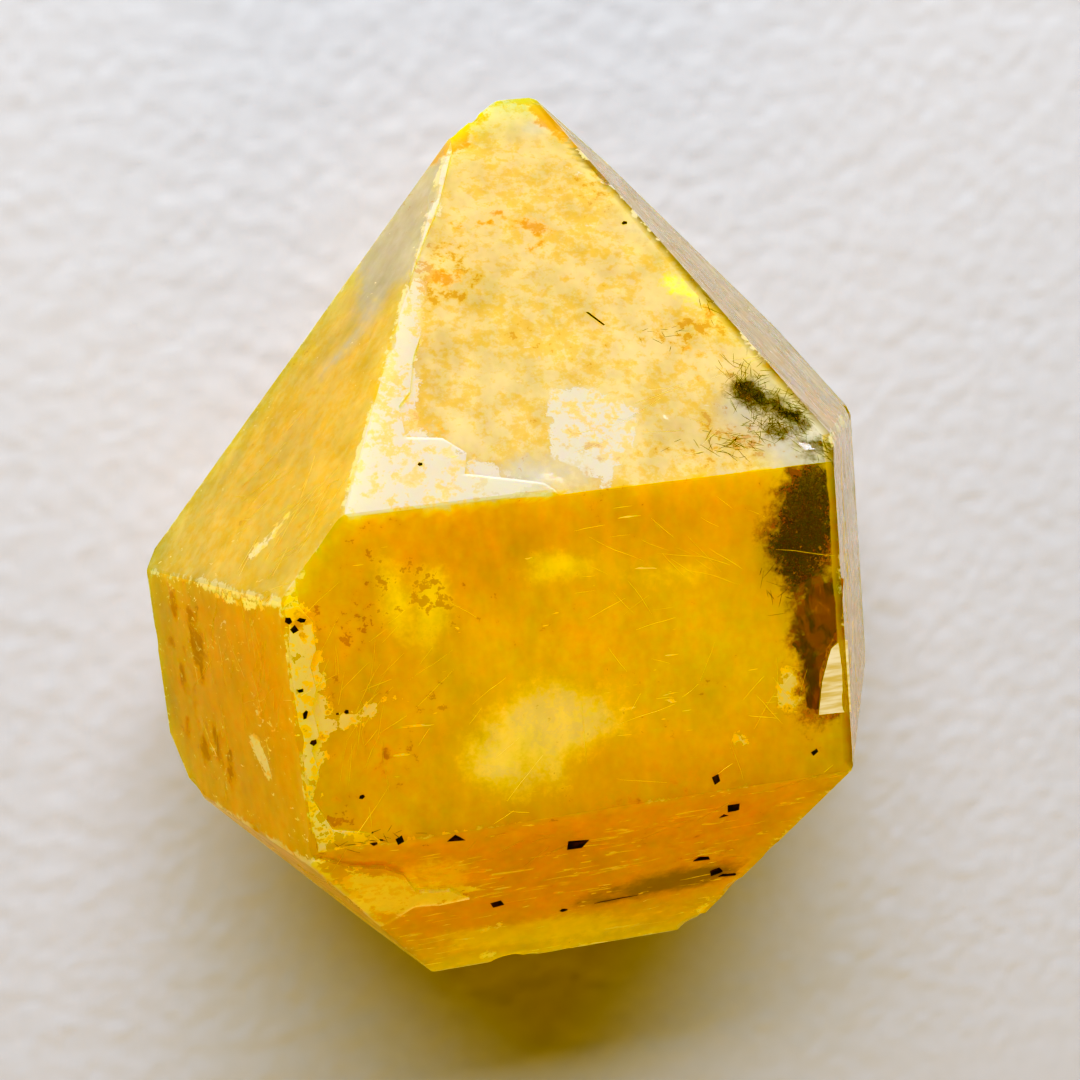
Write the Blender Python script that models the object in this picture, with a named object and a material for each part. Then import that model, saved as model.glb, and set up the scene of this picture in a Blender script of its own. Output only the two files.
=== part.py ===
"""A stubby yellow quartz crystal with two ends, lying on one of its prism faces.

Lengths are in millimetres and are turned into metres when the mesh is made.
The crystal's long axis runs along +Y, towards its large pointed end (the tip).
The short blunt end is the butt.  +Z is up.  The origin is on the ground under
the middle of the crystal.

Every flat face of quartz is either a prism face, parallel to the long axis, or
a rhomb face, whose normal leans from the prism's normal towards one end.  Both
kinds repeat every 60 degrees around the axis, and each face is placed by its
distance from the heart, a point inside the crystal.
"""
import math
import random

import bmesh
import bpy
from mathutils import Matrix, Vector, noise

MM = 0.001
CRYSTAL_NAME = "quartz_crystal"

# ---------------------------------------------------------------- driving dimensions (mm)
HEART_HEIGHT = 9.18  # heart above the prism face that the crystal rests on
RHOMB_LEAN = 38.213  # degrees between a rhomb face's normal and the prism's, fixed by the lattice
ROUGH_BLOCK = 80.0  # side of the block that the faces are cut from

# Distance from the heart to each face, by its turn around the axis in degrees.
# A turn of 0 looks straight up, 60 up to the right, and 180 straight down.
PRISM_FACES = {0: 9.28, 60: 12.42, 120: 14.27, 180: HEART_HEIGHT, 240: 13.82, 300: 12.87}
TIP_FACES = {0: 8.66, 60: 11.56, 120: 15.47, 180: 13.15, 240: 11.23, 300: 10.03}
BUTT_FACES = {0: 12.63, 60: 15.02, 120: 16.01, 180: 9.16, 240: 15.20, 300: 15.68}

# Worn edges: each one is planed off by a depth between these two.
EDGE_WEAR = (0.02, 0.07)
SHORTEST_WORN_EDGE = 0.9
SLIVER = 0.004  # corners closer than this are one corner
UNEVEN_SEED = 11  # for everything below that is uneven by chance

# ---------------------------------------------------------------- terraces
# A terrace is a part of a face that stopped growing a little below the rest.
# Its outline is drawn on the face, from the foot of the heart's perpendicular:
# the first number runs across the axis, the second climbs the face to the tip.
# An outline runs past the face's own edges where the terrace runs out over them.
TERRACE_DEPTH = 0.14
OVER_EDGE = 12.0  # how far past a face's edge such an outline may run
CUTTER_PROUD = 1.0  # how far a cutter stands out of the face that it lowers

TIP_SLOPE_TERRACE = [
    (-2.2, 9.6), (-3.1, 7.6), (-3.9, 5.7), (-3.95, 4.2), (-3.8, 3.2), (-4.2, 2.2), (-4.5, 0.8),
    (-4.95, 0.2), (-4.9, -1.1), (-3.7, -1.3), (-3.0, -2.0), (-3.2, -2.8), (-2.1, -3.1),
    (-0.7, -3.5), (0.3, -4.6), (OVER_EDGE, -4.6), (OVER_EDGE, 17.0), (-1.0, 17.0), (-1.2, 12.6),
]
TOP_TERRACE = [
    (-9.0, 3.0), (-9.0, 0.3), (-8.95, -0.35), (-8.6, -0.9), (-8.6, -1.8), (-8.85, -2.3), (-8.75, -3.1),
    (-8.95, -3.7), (-8.85, -4.6), (-9.15, -5.1), (-9.0, -5.8), (-9.3, -6.7), (-8.8, -7.8),
    (-7.6, -8.1), (-6.4, -9.4), (OVER_EDGE, -9.4), (OVER_EDGE, 3.0),
]
BUTT_SLOPE_TERRACE = [
    (-11.0, 0.0), (-9.3, -1.3), (-8.4, -2.2), (-7.3, -2.6), (-6.7, -3.3), (-6.3, -4.8), (-5.1, -5.1),
    (-4.4, -6.0), (-5.5, -6.1), (-6.4, -5.9), (-7.1, -6.6), (-7.9, -7.2), (-8.6, -9.0),
    (-6.5, -14.0), (OVER_EDGE, -14.0), (OVER_EDGE, 0.0),
]

# Skeletal growth on the hidden faces: a window in each of these steps down twice,
# and follows the face's own outline, drawn in towards its middle.
WINDOW_FACES = [("tip", 180), ("tip", 240), ("butt", 180), ("prism", 120), ("prism", 240)]
WINDOW_SIZES = (0.70, 0.50)  # each step's size over the face's
WINDOW_STEP_DEPTH = 0.15
WINDOW_UNEVEN = 0.035  # how far a window's corners stray, as a part of the face's size

# ---------------------------------------------------------------- chips
# A chip is a shallow shell-shaped flake off the edge where two faces meet: the two
# faces, how far along the edge from its nearest point to the heart, the chip's depth,
# and the radius of its hollow.
CHIPS = [
    # crest of the tip, and its two shoulders
    (("tip", 0), ("tip", 180), -0.75, 0.26, 0.60),
    (("tip", 0), ("tip", 180), -2.90, 0.20, 0.90),
    (("tip", 0), ("tip", 240), -9.95, 0.24, 0.55),
    (("tip", 0), ("tip", 240), -8.60, 0.14, 1.30),
    (("tip", 0), ("tip", 60), 13.60, 0.16, 1.20),
    (("tip", 0), ("tip", 60), 11.70, 0.15, 1.90),
    # right edge of the tip slope
    (("tip", 0), ("tip", 60), 8.30, 0.16, 1.60),
    (("tip", 0), ("tip", 60), 5.10, 0.10, 2.20),
    (("tip", 0), ("tip", 60), 1.80, 0.12, 1.50),
    # left edge of the tip slope
    (("tip", 0), ("tip", 300), -8.90, 0.14, 1.70),
    (("tip", 0), ("tip", 300), -1.20, 0.09, 1.80),
    # edge between the tip slope and the top
    (("tip", 0), ("prism", 0), -1.60, 0.12, 0.90),
    (("tip", 0), ("prism", 0), 3.10, 0.10, 1.10),
    (("tip", 0), ("prism", 0), 6.70, 0.09, 0.80),
    # left edge of the top
    (("prism", 0), ("prism", 300), 1.00, 0.12, 1.30),
    (("prism", 0), ("prism", 300), 4.60, 0.11, 1.80),
    (("prism", 0), ("prism", 300), 8.30, 0.15, 1.20),
    # edge between the top and the butt slope
    (("prism", 0), ("butt", 0), -5.20, 0.10, 1.40),
    (("prism", 0), ("butt", 0), -1.10, 0.09, 1.00),
    # ridge of the butt: a wide notch with smaller flakes to its right
    (("butt", 0), ("butt", 180), -2.75, 0.42, 1.10),
    (("butt", 0), ("butt", 180), -1.95, 0.26, 0.80),
    (("butt", 0), ("butt", 180), -0.35, 0.16, 0.90),
    (("butt", 0), ("butt", 180), 2.40, 0.10, 1.20),
    # right edge of the butt slope: a broken corner and long slivers above it
    (("butt", 0), ("butt", 60), -9.60, 0.42, 1.50),
    (("butt", 0), ("butt", 60), -6.40, 0.22, 2.40),
    (("butt", 0), ("butt", 60), -3.40, 0.16, 2.60),
    # left end
    (("prism", 300), ("butt", 300), -6.60, 0.26, 1.30),
    (("prism", 300), ("butt", 300), -1.20, 0.14, 1.10),
    (("prism", 300), ("prism", 240), 3.00, 0.12, 2.20),
    (("tip", 300), ("prism", 300), 2.20, 0.10, 1.60),
    # right shoulder
    (("prism", 60), ("tip", 60), -8.40, 0.22, 0.90),
    # hidden edges underneath
    (("prism", 180), ("prism", 240), 0.40, 0.24, 2.20),
    (("prism", 180), ("prism", 120), -5.20, 0.28, 2.40),
    (("prism", 180), ("tip", 180), 4.40, 0.22, 1.80),
    (("tip", 180), ("tip", 240), 5.70, 0.26, 2.00),
    (("tip", 180), ("tip", 120), -3.26, 0.22, 1.90),
    (("butt", 180), ("butt", 60), 2.50, 0.24, 2.30),
    (("butt", 180), ("butt", 240), -4.50, 0.26, 2.10),
]
CHIP_DETAIL = 4  # subdivisions of the ball that hollows a chip
CHIP_RIPPLE = 0.03  # waviness of a chip's hollow, as a part of its radius
CHIP_RIPPLES_ACROSS = 2.2


def turn_direction(turn):
    """The level or tilted direction at right angles to the axis, for a turn in degrees."""
    angle = math.radians(turn)
    return Vector((math.sin(angle), 0.0, math.cos(angle)))


def face_normal(kind, turn):
    """Outward normal of a face of this kind ("prism", "tip" or "butt") at this turn."""
    if kind == "prism":
        return turn_direction(turn)
    lean = math.radians(RHOMB_LEAN)
    end = 1.0 if kind == "tip" else -1.0
    return turn_direction(turn) * math.cos(lean) + Vector((0.0, end * math.sin(lean), 0.0))


def face_distance(kind, turn):
    """How far the face is from the heart, in millimetres."""
    return {"prism": PRISM_FACES, "tip": TIP_FACES, "butt": BUTT_FACES}[kind][turn]


def heart():
    """The point that the faces are measured from."""
    return Vector((0.0, 0.0, HEART_HEIGHT))


def cut_flat(bm, point, normal):
    """Cut away what lies outside a plane and close the solid with one flat face."""
    cut = bmesh.ops.bisect_plane(
        bm, geom=bm.verts[:] + bm.edges[:] + bm.faces[:], dist=1e-6,
        plane_co=point, plane_no=normal, clear_outer=True,
    )
    rim = [item for item in cut["geom_cut"] if isinstance(item, bmesh.types.BMEdge)]
    if rim:
        bmesh.ops.contextual_create(bm, geom=rim)


def wear_edges(bm):
    """Plane off every long edge by a small uneven depth, square to the edge's two faces."""
    chance = random.Random(UNEVEN_SEED)
    bm.normal_update()
    planes = []
    for edge in bm.edges:
        if edge.calc_length() < SHORTEST_WORN_EDGE:
            continue
        outward = sum((face.normal for face in edge.link_faces), Vector()).normalized()
        middle = (edge.verts[0].co + edge.verts[1].co) / 2
        planes.append((middle - outward * chance.uniform(*EDGE_WEAR), outward))
    for point, outward in planes:
        cut_flat(bm, point, outward)
    bmesh.ops.recalc_face_normals(bm, faces=bm.faces)


def cut_faces():
    """A sharp-edged solid: a block cut by every crystal face."""
    bm = bmesh.new()
    bmesh.ops.create_cube(bm, size=ROUGH_BLOCK)
    bmesh.ops.translate(bm, verts=bm.verts, vec=heart())
    for kind, turns in (("prism", PRISM_FACES), ("tip", TIP_FACES), ("butt", BUTT_FACES)):
        for turn, distance in turns.items():
            normal = face_normal(kind, turn)
            cut_flat(bm, heart() + normal * distance, normal)
    bmesh.ops.recalc_face_normals(bm, faces=bm.faces)
    return bm


def add_object(name, bm):
    """Scale a mesh made in millimetres to metres and link it as a new object."""
    bmesh.ops.scale(bm, verts=bm.verts, vec=(MM, MM, MM))
    mesh = bpy.data.meshes.new(name)
    bm.to_mesh(mesh)
    bm.free()
    thing = bpy.data.objects.new(name, mesh)
    bpy.context.scene.collection.objects.link(thing)
    return thing


def take_away(crystal, cutter):
    """Subtract a cutter from the crystal, and keep the cutter as a hidden wire guide."""
    cutter.parent = crystal
    cutter.hide_render = True
    cutter.display_type = "WIRE"
    cut = crystal.modifiers.new(cutter.name, "BOOLEAN")
    cut.operation = "DIFFERENCE"
    cut.solver = "EXACT"
    cut.object = cutter


def face_placing(kind, turn):
    """Matrix from a face's own (across, climb, outward) to the crystal's frame."""
    outward = face_normal(kind, turn)
    across = Vector((outward.z, 0.0, -outward.x)).normalized()
    climb = outward.cross(across)
    foot = heart() + outward * face_distance(kind, turn)
    placing = Matrix((across, climb, outward)).transposed().to_4x4()
    placing.translation = foot
    return placing


def face_outline(bm, kind, turn):
    """The corners of one face of the sharp-edged solid, in that face's own coordinates."""
    outward = face_normal(kind, turn)
    to_face = face_placing(kind, turn).inverted()
    face = max(bm.faces, key=lambda candidate: candidate.normal.dot(outward))
    return [(to_face @ vert.co).to_2d() for vert in face.verts]


def sink_terrace(crystal, name, kind, turn, outline, depth):
    """Lower the part of a face inside the outline by a depth."""
    bm = bmesh.new()
    corners = [bm.verts.new((across, climb, -depth)) for across, climb in outline]
    floor = bm.faces.new(corners)
    grown = bmesh.ops.extrude_face_region(bm, geom=[floor])
    lid = [item for item in grown["geom"] if isinstance(item, bmesh.types.BMVert)]
    bmesh.ops.translate(bm, verts=lid, vec=(0.0, 0.0, depth + CUTTER_PROUD))
    bmesh.ops.transform(bm, matrix=face_placing(kind, turn), verts=bm.verts)
    bmesh.ops.recalc_face_normals(bm, faces=bm.faces)
    take_away(crystal, add_object(name, bm))


def drawn_in_outline(corners, size, chance):
    """A face's outline shrunk about its middle, with a stray corner halfway along each side."""
    middle = sum(corners, Vector((0.0, 0.0))) / len(corners)
    reach = max((corner - middle).length for corner in corners)
    outline = []
    for corner, following in zip(corners, corners[1:] + corners[:1]):
        for point in (corner, corner.lerp(following, chance.uniform(0.35, 0.65))):
            stray = Vector((chance.uniform(-1, 1), chance.uniform(-1, 1))) * WINDOW_UNEVEN * reach
            outline.append(middle + (point - middle) * size + stray)
    return outline


def sink_windows(crystal, face_outlines):
    """Cut the stepped windows of skeletal growth into the hidden faces."""
    chance = random.Random(UNEVEN_SEED)
    for (kind, turn), corners in face_outlines.items():
        for step, size in enumerate(WINDOW_SIZES, start=1):
            outline = drawn_in_outline(corners, size, chance)
            name = f"window_{kind}_{turn}_{step}"
            sink_terrace(crystal, name, kind, turn, outline, WINDOW_STEP_DEPTH * step)


def edge_point(first, second, along):
    """A point on the edge where two faces meet, and the direction straight out of that edge.

    The distance runs along the edge from the point of it that is nearest to the heart.
    """
    out_first, out_second = face_normal(*first), face_normal(*second)
    course = out_first.cross(out_second).normalized()
    planes = Matrix((out_first, out_second, course))
    distances = Vector((face_distance(*first), face_distance(*second), 0.0))
    nearest = heart() + planes.inverted() @ distances
    return nearest + course * along, (out_first + out_second).normalized()


def knock_chips(crystal):
    """Flake the chips off the edges with large rippled balls that only graze them."""
    for number, (first, second, along, depth, radius) in enumerate(CHIPS):
        bm = bmesh.new()
        bmesh.ops.create_icosphere(bm, subdivisions=CHIP_DETAIL, radius=radius)
        for vert in bm.verts:
            where = vert.co * (CHIP_RIPPLES_ACROSS / radius) + Vector((number, 0.0, 0.0))
            vert.co *= 1.0 + CHIP_RIPPLE * noise.noise(where)
        point, outward = edge_point(first, second, along)
        bmesh.ops.translate(bm, verts=bm.verts, vec=point + outward * (radius - depth))
        take_away(crystal, add_object(f"chip_{number:02d}", bm))


def join_slivers(crystal):
    """Merge the corners that the cuts left almost on top of each other."""
    weld = crystal.modifiers.new("join_slivers", "WELD")
    weld.merge_threshold = SLIVER * MM


def stand_over_origin(crystal):
    """Slide the crystal so that the origin is on the ground under the middle of its box."""
    bpy.context.view_layer.update()
    shape = crystal.evaluated_get(bpy.context.evaluated_depsgraph_get())
    low = Vector(map(min, zip(*shape.bound_box)))
    high = Vector(map(max, zip(*shape.bound_box)))
    crystal.location = Vector((-(low.x + high.x) / 2, -(low.y + high.y) / 2, -low.z))


def amber_quartz():
    """Clear quartz stained amber by iron."""
    material = bpy.data.materials.new("amber_quartz")
    material.use_nodes = True
    shader = material.node_tree.nodes["Principled BSDF"]
    shader.inputs["Base Color"].default_value = (0.76, 0.44, 0.07, 1.0)
    shader.inputs["Roughness"].default_value = 0.18
    shader.inputs["Metallic"].default_value = 0.0
    shader.inputs["IOR"].default_value = 1.544
    shader.inputs["Transmission Weight"].default_value = 0.6
    return material


def main():
    """Grow the crystal, then terrace, window and chip it."""
    for old in list(bpy.data.objects):
        bpy.data.objects.remove(old, do_unlink=True)
    solid = cut_faces()
    face_outlines = {face: face_outline(solid, *face) for face in WINDOW_FACES}
    wear_edges(solid)
    crystal = add_object(CRYSTAL_NAME, solid)
    sink_terrace(crystal, "terrace_tip_slope", "tip", 0, TIP_SLOPE_TERRACE, TERRACE_DEPTH)
    sink_terrace(crystal, "terrace_top", "prism", 0, TOP_TERRACE, TERRACE_DEPTH)
    sink_terrace(crystal, "terrace_butt_slope", "butt", 0, BUTT_SLOPE_TERRACE, TERRACE_DEPTH)
    sink_windows(crystal, face_outlines)
    knock_chips(crystal)
    join_slivers(crystal)
    stand_over_origin(crystal)
    crystal.data.materials.append(amber_quartz())


main()
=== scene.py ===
"""A cloudy amber quartz crystal on rough white paper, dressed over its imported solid.

Lengths are metres; names that end in _MM and the marks drawn on the crystal's
faces are millimetres.  The crystal's long axis runs along +Y and +Z is up.
"""

import logging
import math
import random
from dataclasses import dataclass
from enum import Enum
from typing import Any, NamedTuple, Sequence, Union

import bmesh
import bpy
import numpy as np
from mathutils import Matrix, Vector, noise
from mathutils.bvhtree import BVHTree
from mathutils.geometry import tessellate_polygon


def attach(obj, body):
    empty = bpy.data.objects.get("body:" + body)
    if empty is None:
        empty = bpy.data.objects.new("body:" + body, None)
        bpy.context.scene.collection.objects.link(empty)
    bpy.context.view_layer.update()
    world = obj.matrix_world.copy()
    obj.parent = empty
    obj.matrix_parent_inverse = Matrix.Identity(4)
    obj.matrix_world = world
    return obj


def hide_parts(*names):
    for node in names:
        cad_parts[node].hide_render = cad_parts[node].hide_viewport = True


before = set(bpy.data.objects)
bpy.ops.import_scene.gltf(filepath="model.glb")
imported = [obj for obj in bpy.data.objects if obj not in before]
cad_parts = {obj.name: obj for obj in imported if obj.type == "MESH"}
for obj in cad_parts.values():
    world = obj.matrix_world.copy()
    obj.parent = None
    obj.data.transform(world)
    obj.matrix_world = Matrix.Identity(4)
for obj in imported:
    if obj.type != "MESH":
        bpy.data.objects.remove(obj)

LOG = logging.getLogger("amber_quartz")
CRYSTAL_NODE = "quartz_crystal"
BODY = "root"
MM = 0.001
RHOMB_LEAN = 38.213  # degrees that a rhomb face's normal leans from the prism's
HEART = np.array((0.0, 0.0, 0.00918))  # the point that every face is measured from
QUARTZ_IOR = 1.544

Colour = tuple[float, float, float]
Triple = tuple[float, float, float]
Points = np.ndarray
Line = tuple[tuple[float, float], ...]
TINY = 1e-9  # keeps a division by nothing away


# ------------------------------------------------------------------ shader graphs
class Value:
    """A shader socket that can be used in Python arithmetic."""

    def __init__(self, graph: "Graph", socket: bpy.types.NodeSocket) -> None:
        """Wraps one output socket of the graph."""
        self.graph = graph
        self.socket = socket

    def _math(self, operation: str, first: "Number", second: "Number") -> "Value":
        """One Math node on two numbers or values."""
        return self.graph.add("ShaderNodeMath", {"operation": operation}, {0: first, 1: second})

    def __add__(self, other: "Number") -> "Value":
        """self + other, and other + self."""
        return self._math("ADD", self, other)

    def __sub__(self, other: "Number") -> "Value":
        """self - other."""
        return self._math("SUBTRACT", self, other)

    def __rsub__(self, other: float) -> "Value":
        """other - self."""
        return self._math("SUBTRACT", other, self)

    def __mul__(self, other: "Number") -> "Value":
        """self * other, and other * self."""
        return self._math("MULTIPLY", self, other)

    def __or__(self, other: "Number") -> "Value":
        """The larger of the two, which joins two masks."""
        return self._math("MAXIMUM", self, other)

    __radd__ = __add__
    __rmul__ = __mul__


Number = Union[Value, float]
Values = dict[str, Value]


class Graph:
    """The node tree of one material or world, built through a single method."""

    def __init__(self, tree: bpy.types.NodeTree) -> None:
        """Starts with an empty tree."""
        self.tree = tree
        tree.nodes.clear()

    def add(self, kind: str, settings: dict[str, Any] | None = None,
            sockets: dict[Any, Any] | None = None, output: int = 0) -> Value:
        """Adds one node.

        Args:
            kind: The node's type name.
            settings: Properties of the node, set first; "stops" fills a colour ramp.
            sockets: Values or links by input name or number.
            output: Number of the output that the returned value wraps.

        Returns:
            The wrapped output, or an empty wrap for a node with no output.
        """
        node = self.tree.nodes.new(kind)
        for name, setting in (settings or {}).items():
            if name == "stops":
                self._fill_ramp(node.color_ramp, setting)
            else:
                setattr(node, name, setting)
        for key, given in (sockets or {}).items():
            self._feed(node.inputs[key], given)
        return Value(self, node.outputs[output] if len(node.outputs) else None)

    def _feed(self, socket: bpy.types.NodeSocket, given: Any) -> None:
        """Links a value to the socket, or sets the socket's own number or colour."""
        if isinstance(given, Value):
            self.tree.links.new(given.socket, socket)
        elif socket.type == "RGBA" and len(given) == 3:
            socket.default_value = (*given, 1.0)
        else:
            socket.default_value = given

    @staticmethod
    def _fill_ramp(ramp: bpy.types.ColorRamp, stops: Sequence[tuple[float, Colour]]) -> None:
        """Gives a colour ramp its stops, in order."""
        while len(ramp.elements) < len(stops):
            ramp.elements.new(1.0)
        for element, (place, colour) in zip(ramp.elements, stops):
            element.position = place
            element.color = (*colour, 1.0)

    def millimetres(self) -> Value:
        """The surface point in the object's own frame, in millimetres."""
        where = self.add("ShaderNodeTexCoord", output=3)
        return self.add("ShaderNodeVectorMath", {"operation": "SCALE"}, {0: where, "Scale": 1.0 / MM})

    def noise(self, where: Value, size: float, detail: float = 4.0, rough: float = 0.55,
              bend: float = 0.0, stretch: Triple = (1.0, 1.0, 1.0), shift: float = 0.0) -> Value:
        """Fractal noise between about 0 and 1.

        Args:
            where: Point in millimetres.
            size: Size of its largest lumps in millimetres.
            detail: Octaves of finer noise.
            rough: Strength of each finer octave.
            bend: How far the pattern is warped.
            stretch: How much longer the lumps are along each axis.
            shift: Offset that makes this noise unlike another.

        Returns:
            The noise value.
        """
        squeeze = tuple(1.0 / (size * part) for part in stretch)
        place = self.add("ShaderNodeVectorMath", {"operation": "MULTIPLY_ADD"},
                         {0: where, 1: squeeze, 2: (shift, shift * 0.7, -shift)})
        return self.add("ShaderNodeTexNoise", {"noise_dimensions": "3D"},
                        {"Vector": place, "Scale": 1.0, "Detail": detail, "Roughness": rough,
                         "Distortion": bend})

    def principled(self, colour: Any, roughness: Number, rest: dict[str, Any] | None = None) -> Value:
        """One all-round surface of this colour and roughness, with the rest of its sockets."""
        sockets = {"Base Color": colour, "Roughness": roughness, **(rest or {})}
        return self.add("ShaderNodeBsdfPrincipled", sockets=sockets)

    def step(self, value: Value, low: float, high: float) -> Value:
        """0 below low, 1 above high and a smooth rise between; low may be the larger."""
        return self.add("ShaderNodeMapRange", {"interpolation_type": "SMOOTHSTEP"},
                        {0: value, 1: low, 2: high})

    def mix(self, factor: Number, first: Any, second: Any, how: str = "MIX") -> Value:
        """Colour first towards colour second by the factor."""
        return self.add("ShaderNodeMix", {"data_type": "RGBA", "blend_type": how},
                        {0: factor, 6: first, 7: second}, output=2)

    def part(self, vector: Value, which: int) -> Value:
        """One part of a vector: 0 for X, 1 for Y, 2 for Z."""
        return self.add("ShaderNodeSeparateXYZ", sockets={0: vector}, output=which)

    def field(self, name: str) -> Value:
        """A number that the mesh carries at each of its points."""
        return self.add("ShaderNodeAttribute", {"attribute_name": name}, output=2)


# ------------------------------------------------------------------ faces and marks
class Growth(Enum):
    """Kind of growth face, by how far its normal leans towards the tip, in degrees."""

    PRISM = 0.0
    TIP = RHOMB_LEAN
    BUTT = -RHOMB_LEAN


FaceName = tuple[Growth, int]
TOP: FaceName = (Growth.PRISM, 0)
RIGHT: FaceName = (Growth.PRISM, 60)
LEFT: FaceName = (Growth.PRISM, 300)
TIP_SLOPE: FaceName = (Growth.TIP, 0)
TIP_RIGHT: FaceName = (Growth.TIP, 60)
TIP_LEFT: FaceName = (Growth.TIP, 300)
BUTT_SLOPE: FaceName = (Growth.BUTT, 0)
BUTT_RIGHT: FaceName = (Growth.BUTT, 60)
BUTT_LEFT: FaceName = (Growth.BUTT, 300)
TURNS = (0, 60, 120, 180, 240, 300)


@dataclass(frozen=True)
class Face:
    """A flat growth face.

    Marks are placed on it in millimetres from its foot, the point where the heart's
    perpendicular meets it: across the axis, up its slope to the tip, and below it.
    """

    across: Points
    climb: Points
    outward: Points
    foot: Points

    @classmethod
    def find(cls, growth: Growth, turn: int, solid: Points) -> "Face":
        """Finds a face of the solid from its kind and turn.

        Args:
            growth: Kind of face.
            turn: Turn about the axis in degrees.
            solid: The solid's corners.

        Returns:
            The face, as far out as the solid reaches along its normal.
        """
        angle = math.radians(turn)
        lean = math.radians(growth.value)
        level = np.array((math.sin(angle), 0.0, math.cos(angle)))
        outward = math.cos(lean) * level + math.sin(lean) * np.array((0.0, 1.0, 0.0))
        across = np.array((math.cos(angle), 0.0, -math.sin(angle)))
        reach = float(((solid - HEART) @ outward).max())
        return cls(across, np.cross(outward, across), outward, HEART + outward * reach)

    def local(self, points: Points) -> tuple[Points, Points, Points]:
        """Across, climb and depth of points, in millimetres."""
        away = (points - self.foot) / MM
        return away @ self.across, away @ self.climb, -(away @ self.outward)

    def point(self, across: float, climb: float, depth: float = 0.0) -> Points:
        """The point at this place on the face, in metres."""
        return self.foot + (self.across * across + self.climb * climb - self.outward * depth) * MM


@dataclass
class FaceSet:
    """All eighteen faces of the crystal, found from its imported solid."""

    solid: Points

    def __post_init__(self) -> None:
        """Finds every face."""
        self.faces = {
            (growth, turn): Face.find(growth, turn, self.solid) for growth in Growth for turn in TURNS
        }

    def __getitem__(self, name: FaceName) -> Face:
        """The face of that name."""
        return self.faces[name]

    def depths(self, points: Points) -> Points:
        """Depth of each point below each face in millimetres, one row a face."""
        return np.array([face.local(points)[2] for face in self.faces.values()])

    def nearest(self, points: Points) -> list[FaceName]:
        """The name of the face that each point lies closest under."""
        names = list(self.faces)
        return [names[row] for row in self.depths(points).argmin(axis=0)]


@dataclass(frozen=True)
class Spot:
    """An oval mark: its middle, half sizes and lean in degrees, in its face's millimetres."""

    across: float
    climb: float
    wide: float
    tall: float
    lean: float = 0.0

    def inside(self, across: Points, climb: Points) -> Points:
        """How far inside the mark each point is, in millimetres, negative outside."""
        angle = math.radians(self.lean)
        aside = across - self.across
        above = climb - self.climb
        along = (aside * math.cos(angle) + above * math.sin(angle)) / self.wide
        over = (above * math.cos(angle) - aside * math.sin(angle)) / self.tall
        return (1.0 - np.hypot(along, over)) * min(self.wide, self.tall)


@dataclass(frozen=True)
class Streak:
    """A mark along a bent line, with its half width in millimetres."""

    line: Line
    wide: float

    def inside(self, across: Points, climb: Points) -> Points:
        """How far inside the mark each point is, in millimetres, negative outside."""
        return self.wide - distance_to_line(across, climb, self.line)


@dataclass(frozen=True)
class Patch:
    """A mark with a cornered outline, in its face's millimetres."""

    corners: Line

    def inside(self, across: Points, climb: Points) -> Points:
        """How far inside the mark each point is, in millimetres, negative outside."""
        outline = (*self.corners, self.corners[0])
        nearest = distance_to_line(across, climb, outline)
        within = np.zeros(len(across), dtype=bool)
        for start, end in zip(outline, outline[1:]):
            straddles = (start[1] > climb) != (end[1] > climb)
            rise = end[1] - start[1] if end[1] != start[1] else TINY
            crossing = start[0] + (climb - start[1]) / rise * (end[0] - start[0])
            within ^= straddles & (across < crossing)
        return np.where(within, nearest, -nearest)


Mark = Union[Spot, Streak, Patch]


def distance_to_line(across: Points, climb: Points, line: Line) -> Points:
    """Distance of points on a face to a line of straight runs.

    Args:
        across: Each point's place across the face.
        climb: Each point's place up the face.
        line: The line's corners, in order.

    Returns:
        One distance a point.
    """
    here = np.stack((across, climb), axis=1)
    nearest = np.full(len(here), np.inf)
    for start, end in zip(line, line[1:]):
        first = np.array(start)
        run = np.array(end) - first
        share = np.clip((here - first) @ run / max(float(run @ run), TINY), 0.0, 1.0)
        nearest = np.minimum(nearest, np.linalg.norm(here - first - share[:, None] * run, axis=1))
    return nearest


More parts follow.
